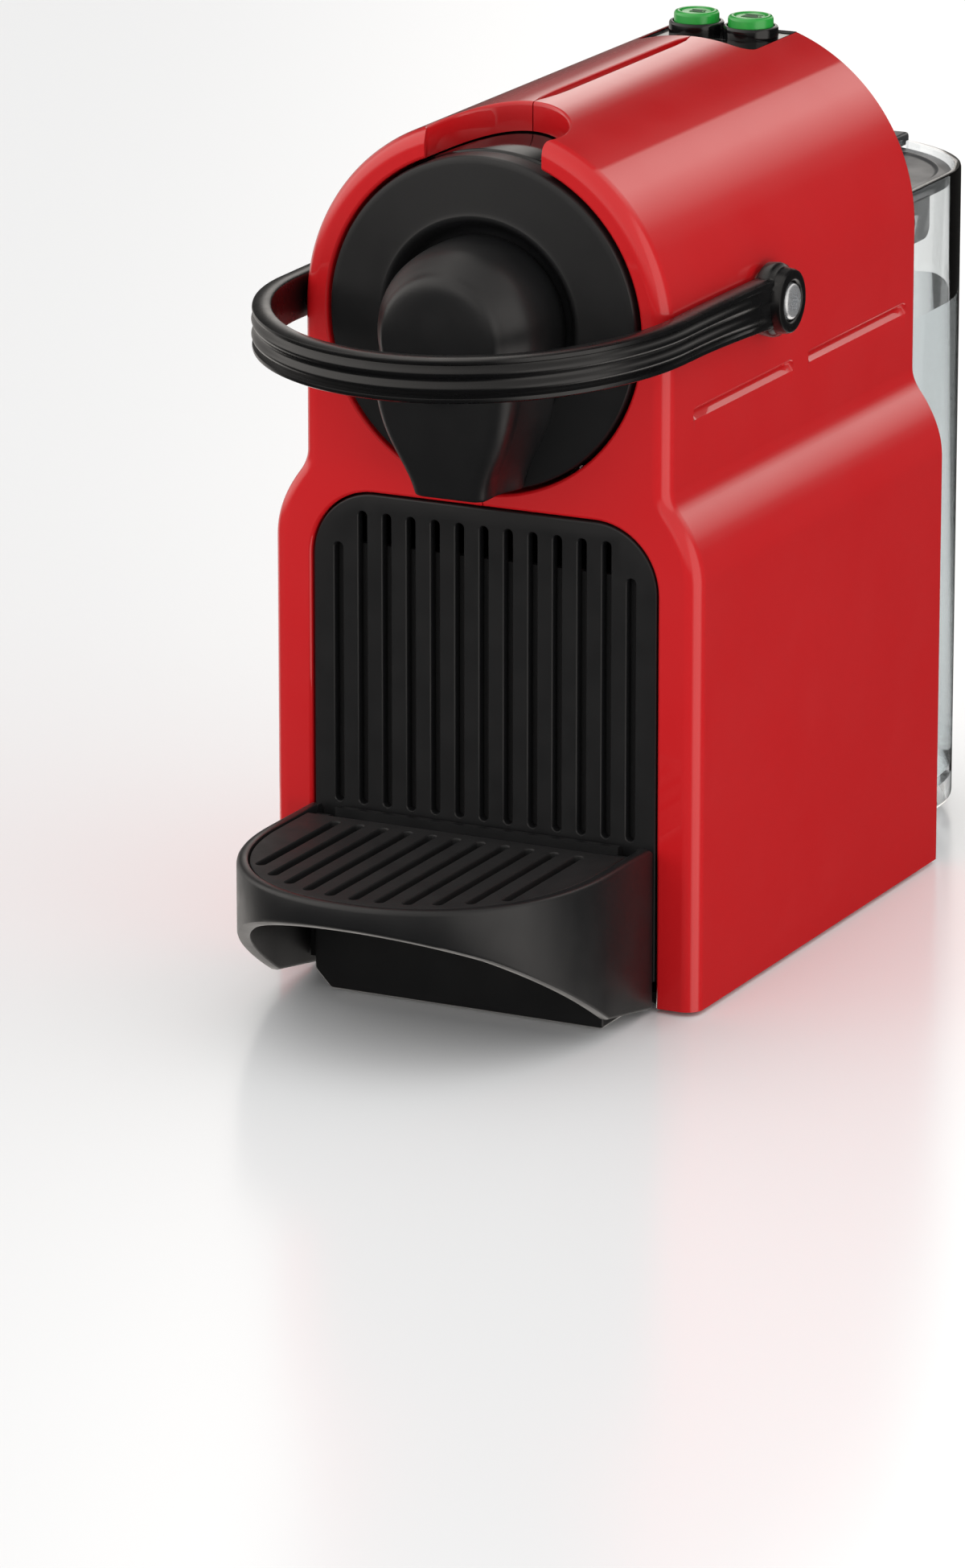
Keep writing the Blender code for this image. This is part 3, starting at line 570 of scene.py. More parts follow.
def shell_section(s, inset, side, bottom, steps=64):
    """Right half of the body's section (X, Z), pulled in by inset; side is its inner X."""
    points = [(side, bottom), (s.half_width - inset, bottom)]
    for i in range(29):
        z = s.flare_low + (s.flare_top - s.flare_low) * i / 28
        points.append((flare(s, z) - inset, z))
    hood = arc(0, s.arch_height, s.hood_radius - inset, 0, 90, steps)
    points += [point for point in hood if point[0] > side + 0.6]
    points.append((side, s.arch_height + sqrt((s.hood_radius - inset) ** 2 - side ** 2)))
    return points


def on_hood(s, x, depth, sink):
    """The point above (x, depth) that lies sink below the hood's surface."""
    reach = s.hood_radius - sink
    return at(x, depth, s.arch_height + sqrt(max(reach * reach - x * x, 0.0)))


def hood_cutter(s, plan, edge, floor):
    """A cutter through the hood with a rounded lip; plan(growth) gives its outline."""
    rings = [[at(x, depth, 245) for x, depth in plan(1.5 * edge)]]
    rings += [[on_hood(s, x, depth, sink) for x, depth in plan(grow)]
              for grow, sink in lip(edge)]
    return loft(rings + [[at(x, depth, floor) for x, depth in plan(0)]])


def notch_plan(grow):
    """Plan of the capsule slot: a mouth that narrows in an S and a half-round back."""
    mouth = [tuple(p) for p in smooth_path([(16.25, -0.4), (16.35, 0.9), (16.75, 2.3),
                                            (17.1, 3.7), (17.25, 5.6), (17.3, 8.0)], 3)]
    right = [(16.25 + grow, -8)] + [(x + grow, depth) for x, depth in mouth[:-1]]
    back = arc(0, NOTCH_BEND, 17.3 + grow, 0, 90, 20, NOTCH_BACK + grow)[:-1]
    return both_sides(right + back + [(0.0, NOTCH_BEND + NOTCH_BACK + grow)])


def channel_plan(grow):
    """Plan of the long slot on the hood's top, pointed at both ends."""
    half, low, high = 1.5 + grow, 30.5 - grow, 120.5 + grow
    return both_sides([(0.18, low), (0.5 * half, low + 4), (0.85 * half, low + 9),
                       (half, low + 15), (half, high - 12), (0.8 * half, high - 5),
                       (0.18, high)])


def panel_plan(grow, rear):
    """Plan of the button panel on the hood's top rear; rear lengthens it backwards."""
    half, front = 16.3 + grow, 122.0 - grow
    return both_sides([(half, 152.4 + rear)] + arc(half - 5, front + 5, 5, 0, -90, 8))


def grille_plan(grow, bottom):
    """Outline of the grille's opening, with round upper corners."""
    half, top, radius = 48.2 + grow, 125.9 + grow, 17.3 + grow
    return both_sides([(half, bottom)] + arc(half - radius, top - radius, radius, 0, 90, 16))


def make_shell_half(s):
    """The right half: the lofted skin, hollowed, with its openings and recesses cut."""
    rings = rounding(s.front_edge, 8)
    rings += [(pull, s.depth - way) for pull, way in reversed(rounding(REAR_EDGE, 3))]
    half = solid(loft([[at(x, depth, z) for x, z in shell_section(s, pull, GAP / 2, 1.2)]
                       for pull, depth in rings]))
    lower = [(x, z) for x, z in shell_section(s, s.wall + 0.1, -2.0, -5.0, 8) if z < 128]
    cut(half, prism(lower + [(-2.0, 127.9)], "y", s.wall, 30))
    cut(half, prism(shell_section(s, s.wall, -2.0, -5.0, 24), "y", 29, s.depth + 5))
    tunnel = [(0, -6), (s.tunnel + 1.5 * s.lip, -6)]
    tunnel += [(s.tunnel + grow, sink) for grow, sink in lip(s.lip)] + [(s.tunnel, 30),
                                                                       (0, 30)]
    cut(half, turned(tunnel, "y", (0, s.arch_height), 120))
    door = [(1.5 * s.lip, -6)] + lip(s.lip) + [(0, 5)]
    cut(half, loft([[at(x, depth, z) for x, z in grille_plan(0.5 + grow, -5)]
                    for grow, depth in door]))
    cut(half, hood_cutter(s, notch_plan, s.lip, 190))
    cut(half, hood_cutter(s, channel_plan, 0.5, 223.0))
    cut(half, prism(panel_plan(0.4, 5.4), "z", 200, 240))
    cut(half, prism(circle(PIVOT_DEPTH, s.arch_height, 7.4), "x", 40, 70))
    for low, high in ((15.8, 74.7), (85.2, 146.0)):
        cut(half, finger_groove(s, low, high))
    return half


def finger_groove(s, low, high):
    """A long recess in the hood's side: a rolled top edge, a slanted floor and a run-out."""
    section = [(-3.0, 154.7), (-0.05, 154.6), (0.1, 154.0), (0.3, 153.6), (0.62, 153.3),
               (1.1, 153.1), (1.7, 153.0), (1.95, 152.7), (1.95, 152.3), (0.3, 150.7),
               (0.2, 150.3), (-0.05, 146.0), (-3.0, 145.5)]
    rings = []
    for depth, share in ((low - 0.5, 0.06), (low, 0.55), (low + 0.9, 0.9), (low + 2.2, 1.0),
                         (high - 2.2, 1.0), (high - 0.9, 0.9), (high, 0.55),
                         (high + 0.5, 0.06)):
        rings.append([at(s.hood_radius - (sunk * share if sunk > 0 else sunk), depth, z)
                      for sunk, z in section])
    return loft(rings)


def skin_normal(s, point):
    """The outer skin's own normal at a point of it, or None where the point is off the skin."""
    x, depth, z = point.x * 1000, point.y * 1000 - FRONT, point.z * 1000
    edge = s.front_edge
    near = min(max((edge - depth) / edge, 0.0), 1.0)
    inset = edge * (1 - sqrt(1 - near * near))
    if z >= s.arch_height:
        out = Vector((x, 0, z - s.arch_height))
        off = out.length - (s.hood_radius - inset)
    else:
        step = 0.2
        slope = (flare(s, z - step) - flare(s, z + step)) / (2 * step)
        out = Vector((1.0 if x > 0 else -1.0, 0, FLARE_TILT * slope))
        off = abs(x) - (flare(s, z) - inset)
    if abs(off) > 0.06:
        return None
    out.normalize()
    return Vector((out.x * sqrt(1 - near * near), -near, out.z * sqrt(1 - near * near)))


def true_skin(made, s):
    """Give the outer skin its own normals, so that no cut shows in the gloss."""
    mesh = made.data
    normals = [corner.vector.copy() for corner in mesh.corner_normals]
    for face in mesh.polygons:
        for k in face.loop_indices:
            own = skin_normal(s, mesh.vertices[mesh.loops[k].vertex_index].co)
            if own and own.dot(face.normal) > 0.93:
                normals[k] = own
    mesh.normals_split_custom_set(normals)


class MakeHousing(bpy.types.Operator):
    """Build the two glossy halves of the housing"""
    bl_idname = "espresso.make_housing"
    bl_label = "Housing"

    def execute(self, context):
        s = in_mm(context.scene.espresso_shell)
        right = make_shell_half(s)
        left = mirrored(right, "shell_left")
        for made, side in ((right, "right"), (left, "left")):
            settle(made, f"shell_{side}", moulded_red_abs, "body",
                   (f"housing_{side}",), 28)
            true_skin(made, s)
        return {"FINISHED"}


# ---- brew head ----------------------------------------------------------------------------------

def make_outlet(s):
    """The dome and the tapering shroud under it, melted into one moulding."""
    dome = [(0, 12), (20.0, 12), (20.0, 2), (22.4, 1.6)]
    dome += [tuple(p) for p in smooth_path([(22.7, 0.4), (22.6, -8), (21.6, -15.0),
                                            (19.2, -19.6), (17.6, -22.0), (16.3, -24.2),
                                            (14.2, -25.2), (8.0, -25.3), (0.0, -25.3)], 4)]
    outlet = solid(turned(dome, "y", (0, s.arch_height), 96))
    rows = smooth_path([(168.0, 20.2, 15.0, -25.0), (160.0, 19.6, 14.6, -24.9),
                        (152.0, 17.8, 13.2, -24.3), (146.0, 15.4, 11.2, -23.4),
                        (141.0, 12.8, 9.2, -22.3), (136.5, 11.0, 7.6, -21.1),
                        (132.7, 10.2, 7.0, -20.0)], 4)
    rings = []
    for z, half, flat, front in rows:
        wing = [(half + 2.2, -1.0), (half + 1.6, -4.0), (half, front + 12.0),
                (half - 0.5, front + 8.0), (half - 0.3, front + 5.0)]
        edge = arc(flat, front + (half - 0.4 - flat), half - 0.4 - flat, 0, -90, 6)
        rings.append([at(x, depth, z) for x, depth in both_sides(wing + edge)])
    weld(outlet, loft(rings))
    melt = outlet.modifiers.new("melt", "REMESH")
    melt.mode, melt.voxel_size = "VOXEL", 0.0005
    soften = outlet.modifiers.new("soften", "SMOOTH")
    soften.factor, soften.iterations = 0.5, 9
    thin = outlet.modifiers.new("thin", "DECIMATE")
    thin.ratio = 0.3
    applied(outlet)
    cut(outlet, block((-7.2, 7.2), (-16.0, -4.8), (120, 146), 1.2))
    return outlet


class MakeBrewHead(bpy.types.Operator):
    """Build the round front disc, the coffee outlet and the curved capsule shutter"""
    bl_idname = "espresso.make_brew_head"
    bl_label = "Brew head"

    def execute(self, context):
        s = in_mm(context.scene.espresso_shell)
        ring = [tuple(p) for p in smooth_path(
            [(20.6, 2.3), (22.6, 2.1), (24.2, 1.3), (25.6, -0.6), (26.7, -1.9), (27.6, -2.2),
             (28.8, -2.0), (34.0, -1.45), (40.6, -0.75)], 4)]
        ring += [(41.6, -0.62), (42.2, -0.4), (42.52, 0.05), (DISC_R, 0.6)]
        disc = solid(turned([(20.6, 6.0)] + ring + [(DISC_R, 6.0)], "y",
                            (0, s.arch_height), 144))
        settle(disc, "brew_disc", grained_black_abs, "body",
               ("front_disc",))
        settle(make_outlet(s), "outlet_shroud", grained_black_abs, "body",
               ("coffee_outlet",), 50)

        nozzle = [(3.2, 131.8), (4.8, 131.8), (5.3, 132.6), (5.6, 134.5), (5.6, 146), (3.2, 146)]
        settle(solid(turned(nozzle, "z", (0, NOZZLE_DEPTH), 40)), "nozzle_tip",
               polished_black_abs, "body", ("outlet_nozzle",))

        rings = [(0.8 - 0.8 * sin(radians(a)), 6.4 + 0.8 - 0.8 * cos(radians(a)))
                 for a in (0, 30, 60, 90)] + [(0.0, 41.0)]
        outline = []
        for pull, depth in rings:
            outer = arc(0, s.arch_height, 43.1 - pull, 58, 122, 36)
            inner = arc(0, s.arch_height, 40.7 + pull * 0.3, 122, 58, 36)
            outline.append([at(x, depth, z) for x, z in outer + inner])
        shutter = solid(loft(outline))
        bump = prism(round_box(8.6, 13.6, 9.6, 13.4, 0.9), "z", 212, 214.9)
        weld(shutter, rounded(bump, 0.35, 2))
        weld(shutter, block((-10, 10), (37.5, 41), (196, 215), 0.6))
        weld(shutter, block((-10, 10), (37.5, 66), (193, 196.5), 0.6))
        settle(shutter, "slot_shutter", polished_black_abs, "brew_carriage",
               ("capsule_shutter",))
        return {"FINISHED"}


# ---- lever --------------------------------------------------------------------------------------

def lever_path(v):
    """Stations (X, depth) of the band's outer face, from the left arm's end to the right."""
    front = arc(0, 0, v.half_width, 180, 0, 96, -v.reach)
    arms = [52, 46, 40, 34, 28, 21, 14, 7]
    return ([(-v.half_width, depth) for depth in arms] + front
            + [(v.half_width, depth) for depth in reversed(arms)])


def lift(v, depth):
    """The arms bow up a little between the pivot and the front."""
    t = (PIVOT_DEPTH - depth) / (PIVOT_DEPTH + v.reach)
    return 1.6 * sin(pi * min(max(t, 0), 1)) - 0.8 * t


def band_section(v, tall, groove):
    """(way in, Z) around the band: three ridges outside, rounded edges and a flat inside."""
    half = tall / 2
    outer = []
    for i in range(25):
        u = -1 + 2 * i / 24
        ridge = groove * (0.5 - 0.5 * cos(3 * pi * (u + 1)))
        edge = 1.2 * (1 - sqrt(max(1 - max(abs(u) - 0.8, 0) ** 2 / 0.04, 0.0)))
        outer.append((ridge * (1 if abs(u) < 0.67 else 0.25) + edge, u * half))
    inner = [(v.band - 0.7, half), (v.band - 0.2, half - 0.25), (v.band, half - 0.8),
             (v.band, 0.8 - half), (v.band - 0.2, 0.25 - half), (v.band - 0.7, -half)]
    return outer + inner


class MakeLever(bpy.types.Operator):
    """Build the ridged loop handle and its two pivot screws"""
    bl_idname = "espresso.make_lever"
    bl_label = "Lever"

    def execute(self, context):
        v = in_mm(context.scene.espresso_lever)
        path = lever_path(v)
        rings = []
        for i, (x, depth) in enumerate(path):
            before, after = path[max(i - 1, 0)], path[min(i + 1, len(path) - 1)]
            along = Vector((after[0] - before[0], after[1] - before[1])).normalized()
            inward = Vector((-along.y, along.x))
            back = min(max(depth / 52, 0.0), 1.0)
            tall = v.tall + 1.9 * back ** 1.5
            section = band_section(v, tall, v.groove * (1 - back ** 3))
            rings.append([at(x + inward.x * way, depth + inward.y * way,
                             ARCH_Z + z + lift(v, depth)) for way, z in section])
        lever = solid(loft(rings))
        centre = (PIVOT_DEPTH, ARCH_Z)
        for side in (-1, 1):
            boss = [(0, 51.8), (9.0, 51.8), (9.4, 52.2), (9.6, 54.6), (9.3, 55.6),
                    (8.7, 56.2), (8.4, 56.8), (8.3, 58.4), (8.0, 59.1), (7.4, 59.4),
                    (5.9, 59.4), (5.4, 59.1), (5.1, 58.6), (5.1, 57.6), (0, 57.6)]
            weld(lever, axle(boss, side, centre, 72))
            hub = [(0, 53), (6.0, 53), (6.0, 46), (4.9, 46), (4.9, 35), (0, 35)]
            weld(lever, axle(hub, side, centre, 32))
            crank = [(-9.4, 7.4), (-5, -2), (0, -5), (4.5, 0), (-3, 11.0), (-7.4, 11.4)]
            weld(lever, prism([(PIVOT_DEPTH + d, ARCH_Z + z) for d, z in crank], "x",
                              37.8 * side, 34.2 * side))
            pin = [(0, 36), (2.0, 36), (2.0, 30.2), (0, 30.2)]
            weld(lever, axle(pin, side, (PIVOT_DEPTH - CRANK * sin(radians(CRANK_TURN)),
                                         ARCH_Z + CRANK * cos(radians(CRANK_TURN))), 24))
        settle(lever, "lever_loop", fine_black_abs, "lever", ("lever",), 38)

        star = []
        for i in range(48):
            turn = 2 * pi * i / 48
            reach = 2.05 + 0.42 * cos(6 * turn)
            star.append((PIVOT_DEPTH + reach * cos(turn), ARCH_Z + reach * sin(turn)))
        for side, word in ((-1, "left"), (1, "right")):
            head = [(0, 57.7), (4.7, 57.7), (4.7, 58.8), (4.55, 59.2), (4.2, 59.5),
                    (3.6, 59.72), (3.0, 59.8), (0, 59.8)]
            screw = solid(axle(head, side, centre, 48))
            cut(screw, prism(star, "x", 58.3 * side, 62 * side))
            settle(screw, f"star_screw_{word}", turned_zinc_steel, "lever",
                   (f"pivot_screw_{word}",))
        return {"FINISHED"}


# ---- buttons ------------------------------------------------------------------------------------

def cup_marks(x, scale):
    """Flat bars of a plain cup: bowl, handle and saucer, as outlines around a centre."""
    def moved(points):
        return [(x + a * scale, BUTTON_DEPTH - b * scale) for a, b in points]
    bowl = [(-2.2, 1.5), (-2.0, -0.4), (-1.3, -1.3), (1.3, -1.3), (2.0, -0.4), (2.2, 1.5)]
    handle = arc(2.1, 0.4, 1.15, -70, 80, 10) + arc(2.1, 0.4, 0.65, 80, -70, 10)
    saucer = round_box(-2.6, 2.6, -2.3, -1.8, 0.24, 3)
    return [moved(bowl), moved(handle), moved(saucer)]


class MakeButtons(bpy.types.Operator):
    """Build the gloss panel, the two green caps and their cup marks"""
    bl_idname = "espresso.make_buttons"
    bl_label = "Buttons"

    def execute(self, context):
        s = in_mm(context.scene.espresso_shell)
        rings = [[at(x, depth, 205) for x, depth in panel_plan(0, 0)]]
        for pull, way in reversed(rounding(0.6, 3)):
            rings.append([on_hood(s, x, depth, 0.2 + 0.6 - way)
                          for x, depth in panel_plan(-pull, -pull)])
        panel = solid(loft([dense(ring) for ring in rings]))
        for x in (-BUTTON_X, BUTTON_X):
            collar = [(0, 212), (7.3, 212), (7.3, 223.9), (7.2, 224.3), (6.95, 224.55),
                      (6.7, 224.6), (0, 224.6)]
            weld(panel, turned(collar, "z", (x, BUTTON_DEPTH), 64))
        cut(panel, prism(circle(0, s.arch_height, s.hood_radius - 3.4, 96), "y", 100, 170))
        for x in (-BUTTON_X, BUTTON_X):
            cut(panel, prism(circle(x, BUTTON_DEPTH, 6.4, 62), "z", 200, 240))
        settle(panel, "gloss_panel", polished_black_abs, "body",
               ("button_panel",))
        for x, word, scale in ((-BUTTON_X, "espresso", 0.78), (BUTTON_X, "lungo", 1.0)):
            cap = [(0, 213.4), (2.0, 213.4), (2.0, 219.8), (6.0, 219.8), (6.0, 226.3),
                   (5.9, 226.75), (5.6, 227.1), (5.2, 227.28), (4.7, 227.3), (4.35, 227.2),
                   (4.1, 227.0), (3.7, 226.92), (0, 226.9)]
            settle(solid(turned(cap, "z", (x, BUTTON_DEPTH), 64)), f"cap_{word}",
                   moulded_green_pc, f"{word}_button", (f"button_{word}",))
            mark = bmesh.new()
            for outline in cup_marks(x, scale):
                part = prism(outline, "z", 226.85, 227.0)
                spare = bpy.data.meshes.new("part")
                part.to_mesh(spare)
                part.free()
                mark.from_mesh(spare)
                bpy.data.meshes.remove(spare)
            settle(solid(mark), f"cup_mark_{word}", printed_green_ink, f"{word}_button")
        return {"FINISHED"}


def dense(ring):
    """Add points along the ring's long sides; the count depends on the first ring's shape."""
    made = []
    for a, b in zip(ring, ring[1:] + ring[:1]):
        steps = 20 if (a - b).length > 0.02 else 1
        made += [a.lerp(b, i / steps) for i in range(steps)]
    return made


# ---- grille and collector -----------------------------------------------------------------------

def slot_rings(x, low, high, levels, axis):
    """A slot with round ends, grown and placed by levels of (growth, position)."""
    rings = []
    for grow, place in levels:
        half = SLOT_WIDTH / 2 + grow
        top, foot = high - SLOT_WIDTH / 2, low + SLOT_WIDTH / 2
        outline = arc(x, top, half, 0, 180, 10) + arc(x, foot, half, 180, 360, 10)
        rings.append([PLACES[axis](a, b, place) for a, b in outline])
    return rings


class MakeServiceUnit(bpy.types.Operator):
    """Build the slotted splash panel and the drip collector's nose"""
    bl_idname = "espresso.make_service_unit"
    bl_label = "Service unit"

    def execute(self, context):
        edge = 0.6
        rings = [[at(x, depth, z) for x, z in grille_plan(-pull, 8)]
                 for pull, depth in [(a, 0.6 + b) for a, b in rounding(edge, 4)] + [(0, 3.2)]]
        grille = solid(loft(rings))
        for k in range(-6, 7):
            top = 112.3 if abs(k) == 6 else 121.1
            levels = [(0.9, -0.4)] + [(a, 0.6 + b) for a, b in lip(0.45, 3)[1:]] + [(0, 5)]
            cut(grille, loft(slot_rings(k * SLOT_PITCH, 44, top, levels, "y")))
        settle(grille, "splash_panel", grained_black_abs, "service_unit",
               ("grille_panel",))

        nose = [(-37.0, 6.0), (-32.5, 1.2), (44.4, 1.2), (44.4, 30.6), (-37.0, 30.6)]
        collector = solid(rounded(prism(nose, "y", -21.6, 0.2), 0.9, 3, 30))
        cut(collector, block((-34.6, 42), (-19.2, -2.0), (6, 40), 0.8))
        weld(collector, block((-44, 44), (-0.4, 91), (4.8, 6.9), 0.3, 2))
        for x in (-44.4, 40.6):
            ear = arc(*TRAY_HINGE, 3.4, 0, 180, 20) + [(-9.4, 5), (-2.6, 5)]
            weld(collector, prism(ear, "x", x, x + 3.8))
            weld(collector, block((x, x + 3.8), (-6.0, 0.2), (4.8, 20)))
        cut(collector, prism(circle(*TRAY_HINGE, 2.4, 24), "x", -50, 50))
        settle(collector, "collector_nose", grained_black_abs, "service_unit",
               ("drip_collector",))
        return {"FINISHED"}


# ---- drip tray ----------------------------------------------------------------------------------

def tray_plan(v, inset, back, steps=72):
    """The tray's D-shaped plan (X, depth), with a slightly squared round front."""
    half, reach, power = v.half_width - inset, v.reach - v.bend - inset, 2.15
    points = [(half, back)]
    for i in range(steps + 1):
        t = pi * i / steps
        x = half * (1 if cos(t) > 0 else -1) * abs(cos(t)) ** (2 / power)
        points.append((x, -v.bend - reach * sin(t) ** (2 / power)))
    return points + [(-half, back)]


# (depth, Z) along the tray: the skirt's lower edge, on the table at the back and under the rim
# in front, then the bowl's underside and its floor, which falls towards the back.
SKIRT_FOOT = ((-90.0, 42.0), (-80.0, 37.9), (-64.0, 29.4), (-47.0, 18.8), (-30.0, 8.2),
              (-21.5, 3.0), (-18.5, 1.5), (-15.5, 1.0), (10.0, 1.0))
BOWL_UNDER = ((-90, 38.4), (-60, 36.4), (-20, 31.4), (10, 31.4))
BOWL_FLOOR = ((-90, 40.2), (-60, 38.2), (-20, 33.4), (10, 33.4))


def filled_rows(v, inset, back, line, columns):
    """Points that fill a plan, for a floor that isn't flat."""
    ring = tray_plan(v, inset, back)
    return [[at(x * k, back + (depth - back) * k, level(line, back + (depth - back) * k))
             for x, depth in ring] for k in columns]


class MakeTray(bpy.types.Operator):
    """Build the folding drip tray and its slotted grid"""
    bl_idname = "espresso.make_tray"
    bl_label = "Drip tray"

    def execute(self, context):
        v = in_mm(context.scene.espresso_tray)
        rim = v.top
        inner = v.wall + 0.4
        inward = (0.02, 0.35, 0.7, 0.9, 1.0)
        rings = filled_rows(v, inner, -1.0, BOWL_UNDER, inward)
        for inset, rise in ((inner, 0.9), (inner - 0.25, 0.25), (inner - 0.9, 0.0),
                            (0.9, 0.0), (0.25, 0.25), (0.0, 0.9)):
            ring = []
            for x, depth in tray_plan(v, inset, -0.8):
                roof = level(BOWL_UNDER, depth) - 0.2
                foot = level(SKIRT_FOOT, depth) + rise
                ring.append(at(x, depth, min(foot, roof) if inset > 2 else foot))
            rings.append(ring)
        for inset, z in ((0.0, rim - 1.3), (0.15, rim - 0.7), (0.5, rim - 0.25),
                         (1.1, rim), (v.wall - 0.7, rim), (v.wall - 0.25, rim - 0.15),
                         (v.wall, rim - 0.6), (v.wall, 41.0), (v.wall + 2.0, 41.0)):
            rings.append([at(x, depth, z) for x, depth in
                          tray_plan(v, inset, -0.8 if inset < 2 else -4.0)])
        rings += filled_rows(v, v.wall + 2.0, -6.0, BOWL_FLOOR, inward[::-1])
        tray = solid(loft(rings))
        cut(tray, prism([(-3, -2), (1, -2), (1, 31.2), (-3, 31.2)], "x", -44.8, 44.8))
        cut(tray, prism([(-2.8, 44), (1, 44), (1, 40.4)], "x", -60, 60))
        cut(tray, prism([(-4.0, 31.0), (1, 31.0), (1, 35.8)], "x", -44.7, 44.7))
        for side in (-1, 1):
            low, high = sorted((40.0 * side, 44.9 * side))
            cut(tray, block((low, high), (-10.2, 5), (20, 60)))
            weld(tray, axle([(0, 46), (1.9, 46), (1.9, 41), (0, 41)], side, TRAY_HINGE, 24))
        settle(tray, "tray_shell", grained_black_abs, "tray",
               ("drip_tray",))

        base = v.wall + GAP
        levels = [(0.0, 41.3)] + [(a, 43.3 - b) for a, b in reversed(rounding(0.5, 3))]
        grid = solid(loft([[at(x, depth, z) for x, depth in
                            tray_plan(v, base + pull, -10.0 - pull)] for pull, z in levels]))
        for k in range(-5, 6):
            x = k * SLOT_PITCH
            reach = (v.reach - v.bend) * sqrt(max(1 - (x / v.half_width) ** 2, 0))
            front = -v.bend - reach + 9 - SLOT_WIDTH
            levels = [(0.8, 43.7)] + [(a, 43.3 - b) for a, b in lip(0.4, 3)[1:]] + [(0, 38)]
            cut(grid, loft(slot_rings(x, front, -14.0, levels, "z")))
        settle(grid, "tray_grid", matt_black_pp, "grid", ("drip_grid",))
        return {"FINISHED"}


# ---- water tank ---------------------------------------------------------------------------------

def tank_plan(v, inset, front, steps=72):
    """The tank's plan (X, depth): straight sides and a half-round back."""
    half, reach = v.half_width - inset, TANK_ROUND - inset
    return [(half, front)] + arc(0, TANK_BEND, half, 0, 180, steps, reach) + [(-half, front)]


class MakeTank(bpy.types.Operator):
    """Build the clear tank, its water and its hinged lid"""
    bl_idname = "espresso.make_tank"
    bl_label = "Water tank"

    def execute(self, context):
        v = in_mm(context.scene.espresso_tank)
        front = TANK_FRONT
        outer = [(a, 3.0 + b, front + a) for a, b in rounding(2.4, 5)]
        outer += [(0, v.top - 0.5, front), (0.15, v.top - 0.15, front + 0.15),
                  (0.5, v.top, front + 0.5)]
        tank = solid(loft([[at(x, depth, z) for x, depth in tank_plan(v, pull, near)]
                           for pull, z, near in outer]))
        hollow = [(v.wall + a, 11.4 + b, front + v.wall + a) for a, b in rounding(1.5, 4)]
        hollow += [(v.wall, v.top - 0.5, front + v.wall),
                   (v.wall - 0.4, v.top + 0.3, front + v.wall - 0.4),
                   (v.wall - 0.4, 190, front + v.wall - 0.4)]
        cut(tank, loft([[at(x, depth, z) for x, depth in tank_plan(v, pull, near)]
                        for pull, z, near in hollow]))
        cut(tank, prism(tank_plan(v, v.wall, front - 5, 48), "z", -5, 9.2))
        cut(tank, prism(circle(0, 170, 6.3, 40), "z", 5, 20))
        cut(tank, block((-21, 21), (150, 158), (-5, 22)))
        step = solid(block((-23.4, 23.4), (154.2, 160.4), (9.6, 24.4)))
        cut(step, block((-21, 21), (150, 158), (5, 22)))
        weld(tank, step)
        for side in (-1, 1):
            cut(tank, prism(circle(*LID_PIN, 2.6, 24), "x", 41 * side, 60 * side))
        cut(tank, block((-17, 17), (220, 240), (176.4, 190)))
        settle(tank, "clear_tank", clear_san, "tank", ("water_tank",))

        soak = v.wall - 0.06       # the water reaches into the wall, so no air shows between
        water = solid(loft([[at(x, depth, z) for x, depth in tank_plan(v, soak + pull, near)]
                            for pull, z, near in
                            [(a, 11.34 + b, front + soak + a) for a, b in rounding(1.5, 4)]
                            + [(0, v.water, front + soak)]]))
        cut(water, block((-23.5, 23.5), (150, 160.5), (5, 24.5)))
        cut(water, prism(circle(0, 170, 8.4, 32), "z", 5, 20))
        settle(water, "tank_water", still_water, "tank")

        inset = v.wall + 0.6
        plate = [(0.0, 174.6), (0.0, 176.8)] + [(a, 177.4 - b)
                                                for a, b in reversed(rounding(0.6, 3))][1:]
        lid = solid(loft([[at(x, depth, z) for x, depth in
                           tank_plan(v, inset + pull, front + 6.4 + pull)]
                          for pull, z in plate]))
        back = TANK_BEND + TANK_ROUND
        weld(lid, block((-16, 16), (back - 9, back - 0.1), (177.0, 180.6), 1.0))
        cut(lid, lid_dish(v, inset, front))
        settle(lid, "lid_plate", moulded_grey_san, "lid", ("tank_lid",))
        for side, word in ((-1, "left"), (1, "right")):
            ear = [(d, z) for d, z in round_box(161.0, 181.0, 163.6, 179.0, 3.4) if z < 176.0]
            ear = solid(rounded(prism(ear, "x", 39.0 * side, 42.4 * side), 0.5, 2, 60))
            settle(ear, f"lid_ear_{word}", polished_black_abs, "lid")
            pin = [(0, 39.5), (2.2, 39.5), (2.2, 43.7), (1.9, 44.0), (0, 44.0)]
            settle(solid(axle(pin, side, LID_PIN, 32)), f"lid_pin_{word}", moulded_grey_san,
                   "lid")
        return {"FINISHED"}


def lid_dish(v, inset, front):
    """The shallow dish in the lid's top that leaves a raised edge."""
    rings = [[at(x, depth, z) for x, depth in tank_plan(v, inset + pull, front + 6.4 + pull)]
             for pull, z in ((3.2, 177.9), (3.6, 177.3), (4.2, 176.9), (4.8, 176.8))]
    for ring in rings:
        for point in ring:
            point.y = min(point.y, at(0, 217.0, 0).y)
    return loft(rings)


